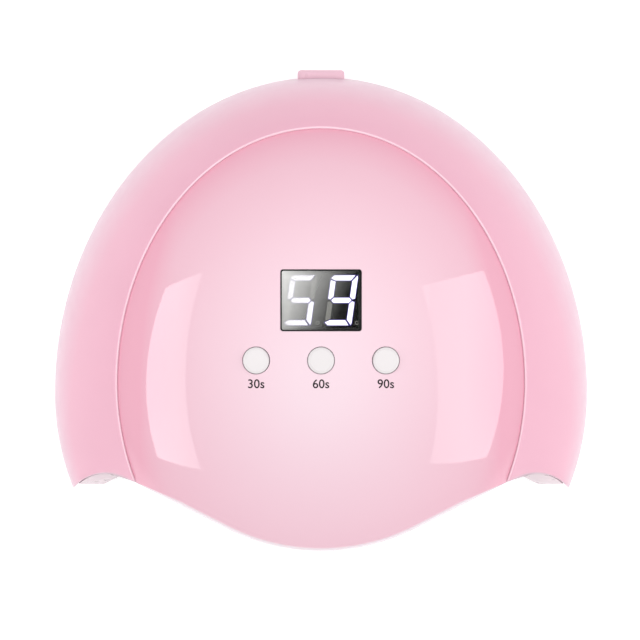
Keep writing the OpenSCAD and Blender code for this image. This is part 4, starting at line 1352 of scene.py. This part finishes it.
def make_bars(name, chosen, slot, grow, low, high, points=False, material=None, replaces=()):
    """The chosen bars of both digits as thin plates between two heights; grow widens their outlines."""
    verts, faces = [], []

    def plate(outline):
        n, start = len(outline), len(verts)
        for z in (low, high):
            verts.extend((x, y, z) for x, y in outline)
        faces.append(tuple(range(start + n - 1, start - 1, -1)))
        faces.append(tuple(range(start + n, start + 2 * n)))
        faces.extend(strips([range(start, start + n), range(start + n, start + 2 * n)]))

    for middle, bars in zip((-DIGIT_GAP / 2, DIGIT_GAP / 2), chosen):
        for bar in bars:
            outline = inward(bar_outlines()[bar], [-grow] * 8)
            plate([(middle + x + y * DIGIT_LEAN, LENS_Y + y) for x, y in outline])
    if points:
        for x in POINT_XS:
            outer, inner = (ring_of(x, POINT_Y, r, POINT_SEGMENTS) for r in POINT_RADII)
            n, start = POINT_SEGMENTS, len(verts)
            for z, ring in ((low, outer), (high, outer), (high, inner), (low, inner)):
                verts.extend((px, py, z) for px, py in ring)
            faces.extend(strips([range(start + k * n, start + (k + 1) * n) for k in (0, 1, 2, 3, 0)]))
    piece = piece_from(name, verts, faces, "housing", slot, 30, replaces)
    if material:
        piece.data.materials[0] = MATERIALS[material]


def make_digits():
    low, high = (corner.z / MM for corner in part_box("display_segments_lit"))
    make_bars("bars_lit", LIT_BARS, "digit_lit", -BAR_INSET, low, high, replaces=["display_segments_lit"])
    make_bars("bars_glow", LIT_BARS, "digit_lit", HALO_W, low, low + HALO_T, material="digit_glow")
    make_bars("bars_unlit", UNLIT_BARS, "digit_unlit", -BAR_INSET, low, high, True,
              replaces=["display_segments_unlit"])


# ---------------------------------------------------------------- stage

def add_glow(mesh, name, strength, levels, see_through=False):
    """Gives a mesh a white light whose strength follows a level at each of its points."""
    mesh.attributes.new("level", "FLOAT", "POINT").data.foreach_set("value", levels)
    material = bpy.data.materials.new(name)
    material.use_nodes = True
    tree = material.node_tree
    tree.nodes.clear()
    read = tree.nodes.new("ShaderNodeAttribute")
    read.attribute_name = "level"
    times = tree.nodes.new("ShaderNodeMath")
    times.operation = "MULTIPLY"
    times.inputs[1].default_value = strength
    tree.links.new(read.outputs["Fac"], times.inputs[0])
    glow = tree.nodes.new("ShaderNodeEmission")
    glow.inputs["Color"].default_value = (1, 1, 1, 1)
    tree.links.new(times.outputs[0], glow.inputs["Strength"])
    surface = glow.outputs[0]
    if see_through:
        total = tree.nodes.new("ShaderNodeAddShader")
        tree.links.new(surface, total.inputs[0])
        tree.links.new(tree.nodes.new("ShaderNodeBsdfTransparent").outputs[0], total.inputs[1])
        surface = total.outputs[0]
    out = tree.nodes.new("ShaderNodeOutputMaterial")
    tree.links.new(surface, out.inputs["Surface"])
    mesh.materials.append(material)


def make_floor():
    bm = bmesh.new()
    bmesh.ops.create_circle(bm, cap_ends=True, segments=96, radius=FLOOR_R)
    mesh = mesh_from("floor", bm)
    n = Nodes("floor")
    n.toned(2, 2, (0.90, 0.90, 0.90), (0.93, 0.93, 0.93))
    n.set(Roughness=0.6, Emission_Color=(1, 1, 1, 1), Emission_Strength=0.32)
    mesh.materials.append(n.material)
    link("floor", mesh)


def softbox(name, corners, strength):
    """A lit panel with four corners in metres: the first two are its near edge, which is brightest."""
    mesh = bpy.data.meshes.new(name)
    rows = SOFTBOX_ROWS
    a, b, c, d = (Vector(p) for p in corners)
    verts = []
    for i in range(rows + 1):
        t = i / rows
        verts += [a.lerp(d, t), b.lerp(c, t)]
    mesh.from_pydata(verts, [], [(2 * i, 2 * i + 1, 2 * i + 3, 2 * i + 2) for i in range(rows)])
    add_glow(mesh, name, strength, [mix(1, SOFTBOX_FADE, (v // 2) / rows) for v in range(len(verts))])
    panel = link(name, mesh)
    panel.visible_camera = False


def overhead_dome():
    """A large soft light over the lamp that falls away evenly towards its edge."""
    bm = bmesh.new()
    bmesh.ops.create_uvsphere(bm, u_segments=64, v_segments=48, radius=OVERHEAD_R)
    doomed = [v for v in bm.verts if v.co.z < OVERHEAD_R * OVERHEAD_CUT]
    bmesh.ops.delete(bm, geom=doomed, context="VERTS")
    mesh = mesh_from("overhead", bm)
    levels = []
    for v in mesh.vertices:
        tilt = math.degrees(math.acos(max(-1, min(1, v.co.z / OVERHEAD_R))))
        levels.append(0.5 + 0.5 * math.cos(math.pi * min(1, tilt / OVERHEAD_WIDE)))
    add_glow(mesh, "overhead", OVERHEAD_STRENGTH, levels, see_through=True)
    shell = link("overhead", mesh)
    shell.rotation_euler.x = OVERHEAD_TILT
    shell.visible_camera = False
    shell.visible_shadow = False


def make_lights():
    world = bpy.data.worlds.new("studio")
    bpy.context.scene.world = world
    world.use_nodes = True
    back = world.node_tree.nodes["Background"]
    back.inputs["Color"].default_value = (1, 1, 1, 1)
    back.inputs["Strength"].default_value = WORLD_STRENGTH
    overhead_dome()
    softbox("left_softbox", LEFT_SOFTBOX, LEFT_STRENGTH)
    softbox("right_softbox", RIGHT_SOFTBOX, RIGHT_STRENGTH)


def make_camera():
    """Straight down through a long lens, with the back of the lamp at the top of the picture."""
    camera = bpy.data.cameras.new("camera")
    camera.lens = LENS_LENGTH
    camera.sensor_width = SENSOR_W
    camera.clip_end = 200
    low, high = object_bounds()
    middle = (low + high) / 2
    eye = link("camera", camera)
    away = FIELD * MM / 2 / (SENSOR_W / 2 / LENS_LENGTH)
    eye.location = (middle.x + AIM[0] * MM, middle.y + AIM[1] * MM, FIELD_Z * MM + away)
    bpy.context.scene.camera = eye


# ---------------------------------------------------------------- assembly

make_camera()
make_rim()
make_panel()
make_window()
make_window_border()
for key, x in KEYS.items():
    make_button(key, x)
    make_label(key, x)
make_liner()
make_digits()
make_socket_bezel()
softened("dc_jack_body", "socket_body", 0.15)
softened("base_ring", "bottom_ring", 0.3, 2, limit=50)
softened("rubber_feet", "feet", 0.4)
softened("base_screws", "bottom_screws", 0.12, 2)
make_floor()
make_lights()
bpy.context.scene.view_settings.view_transform = "Standard"
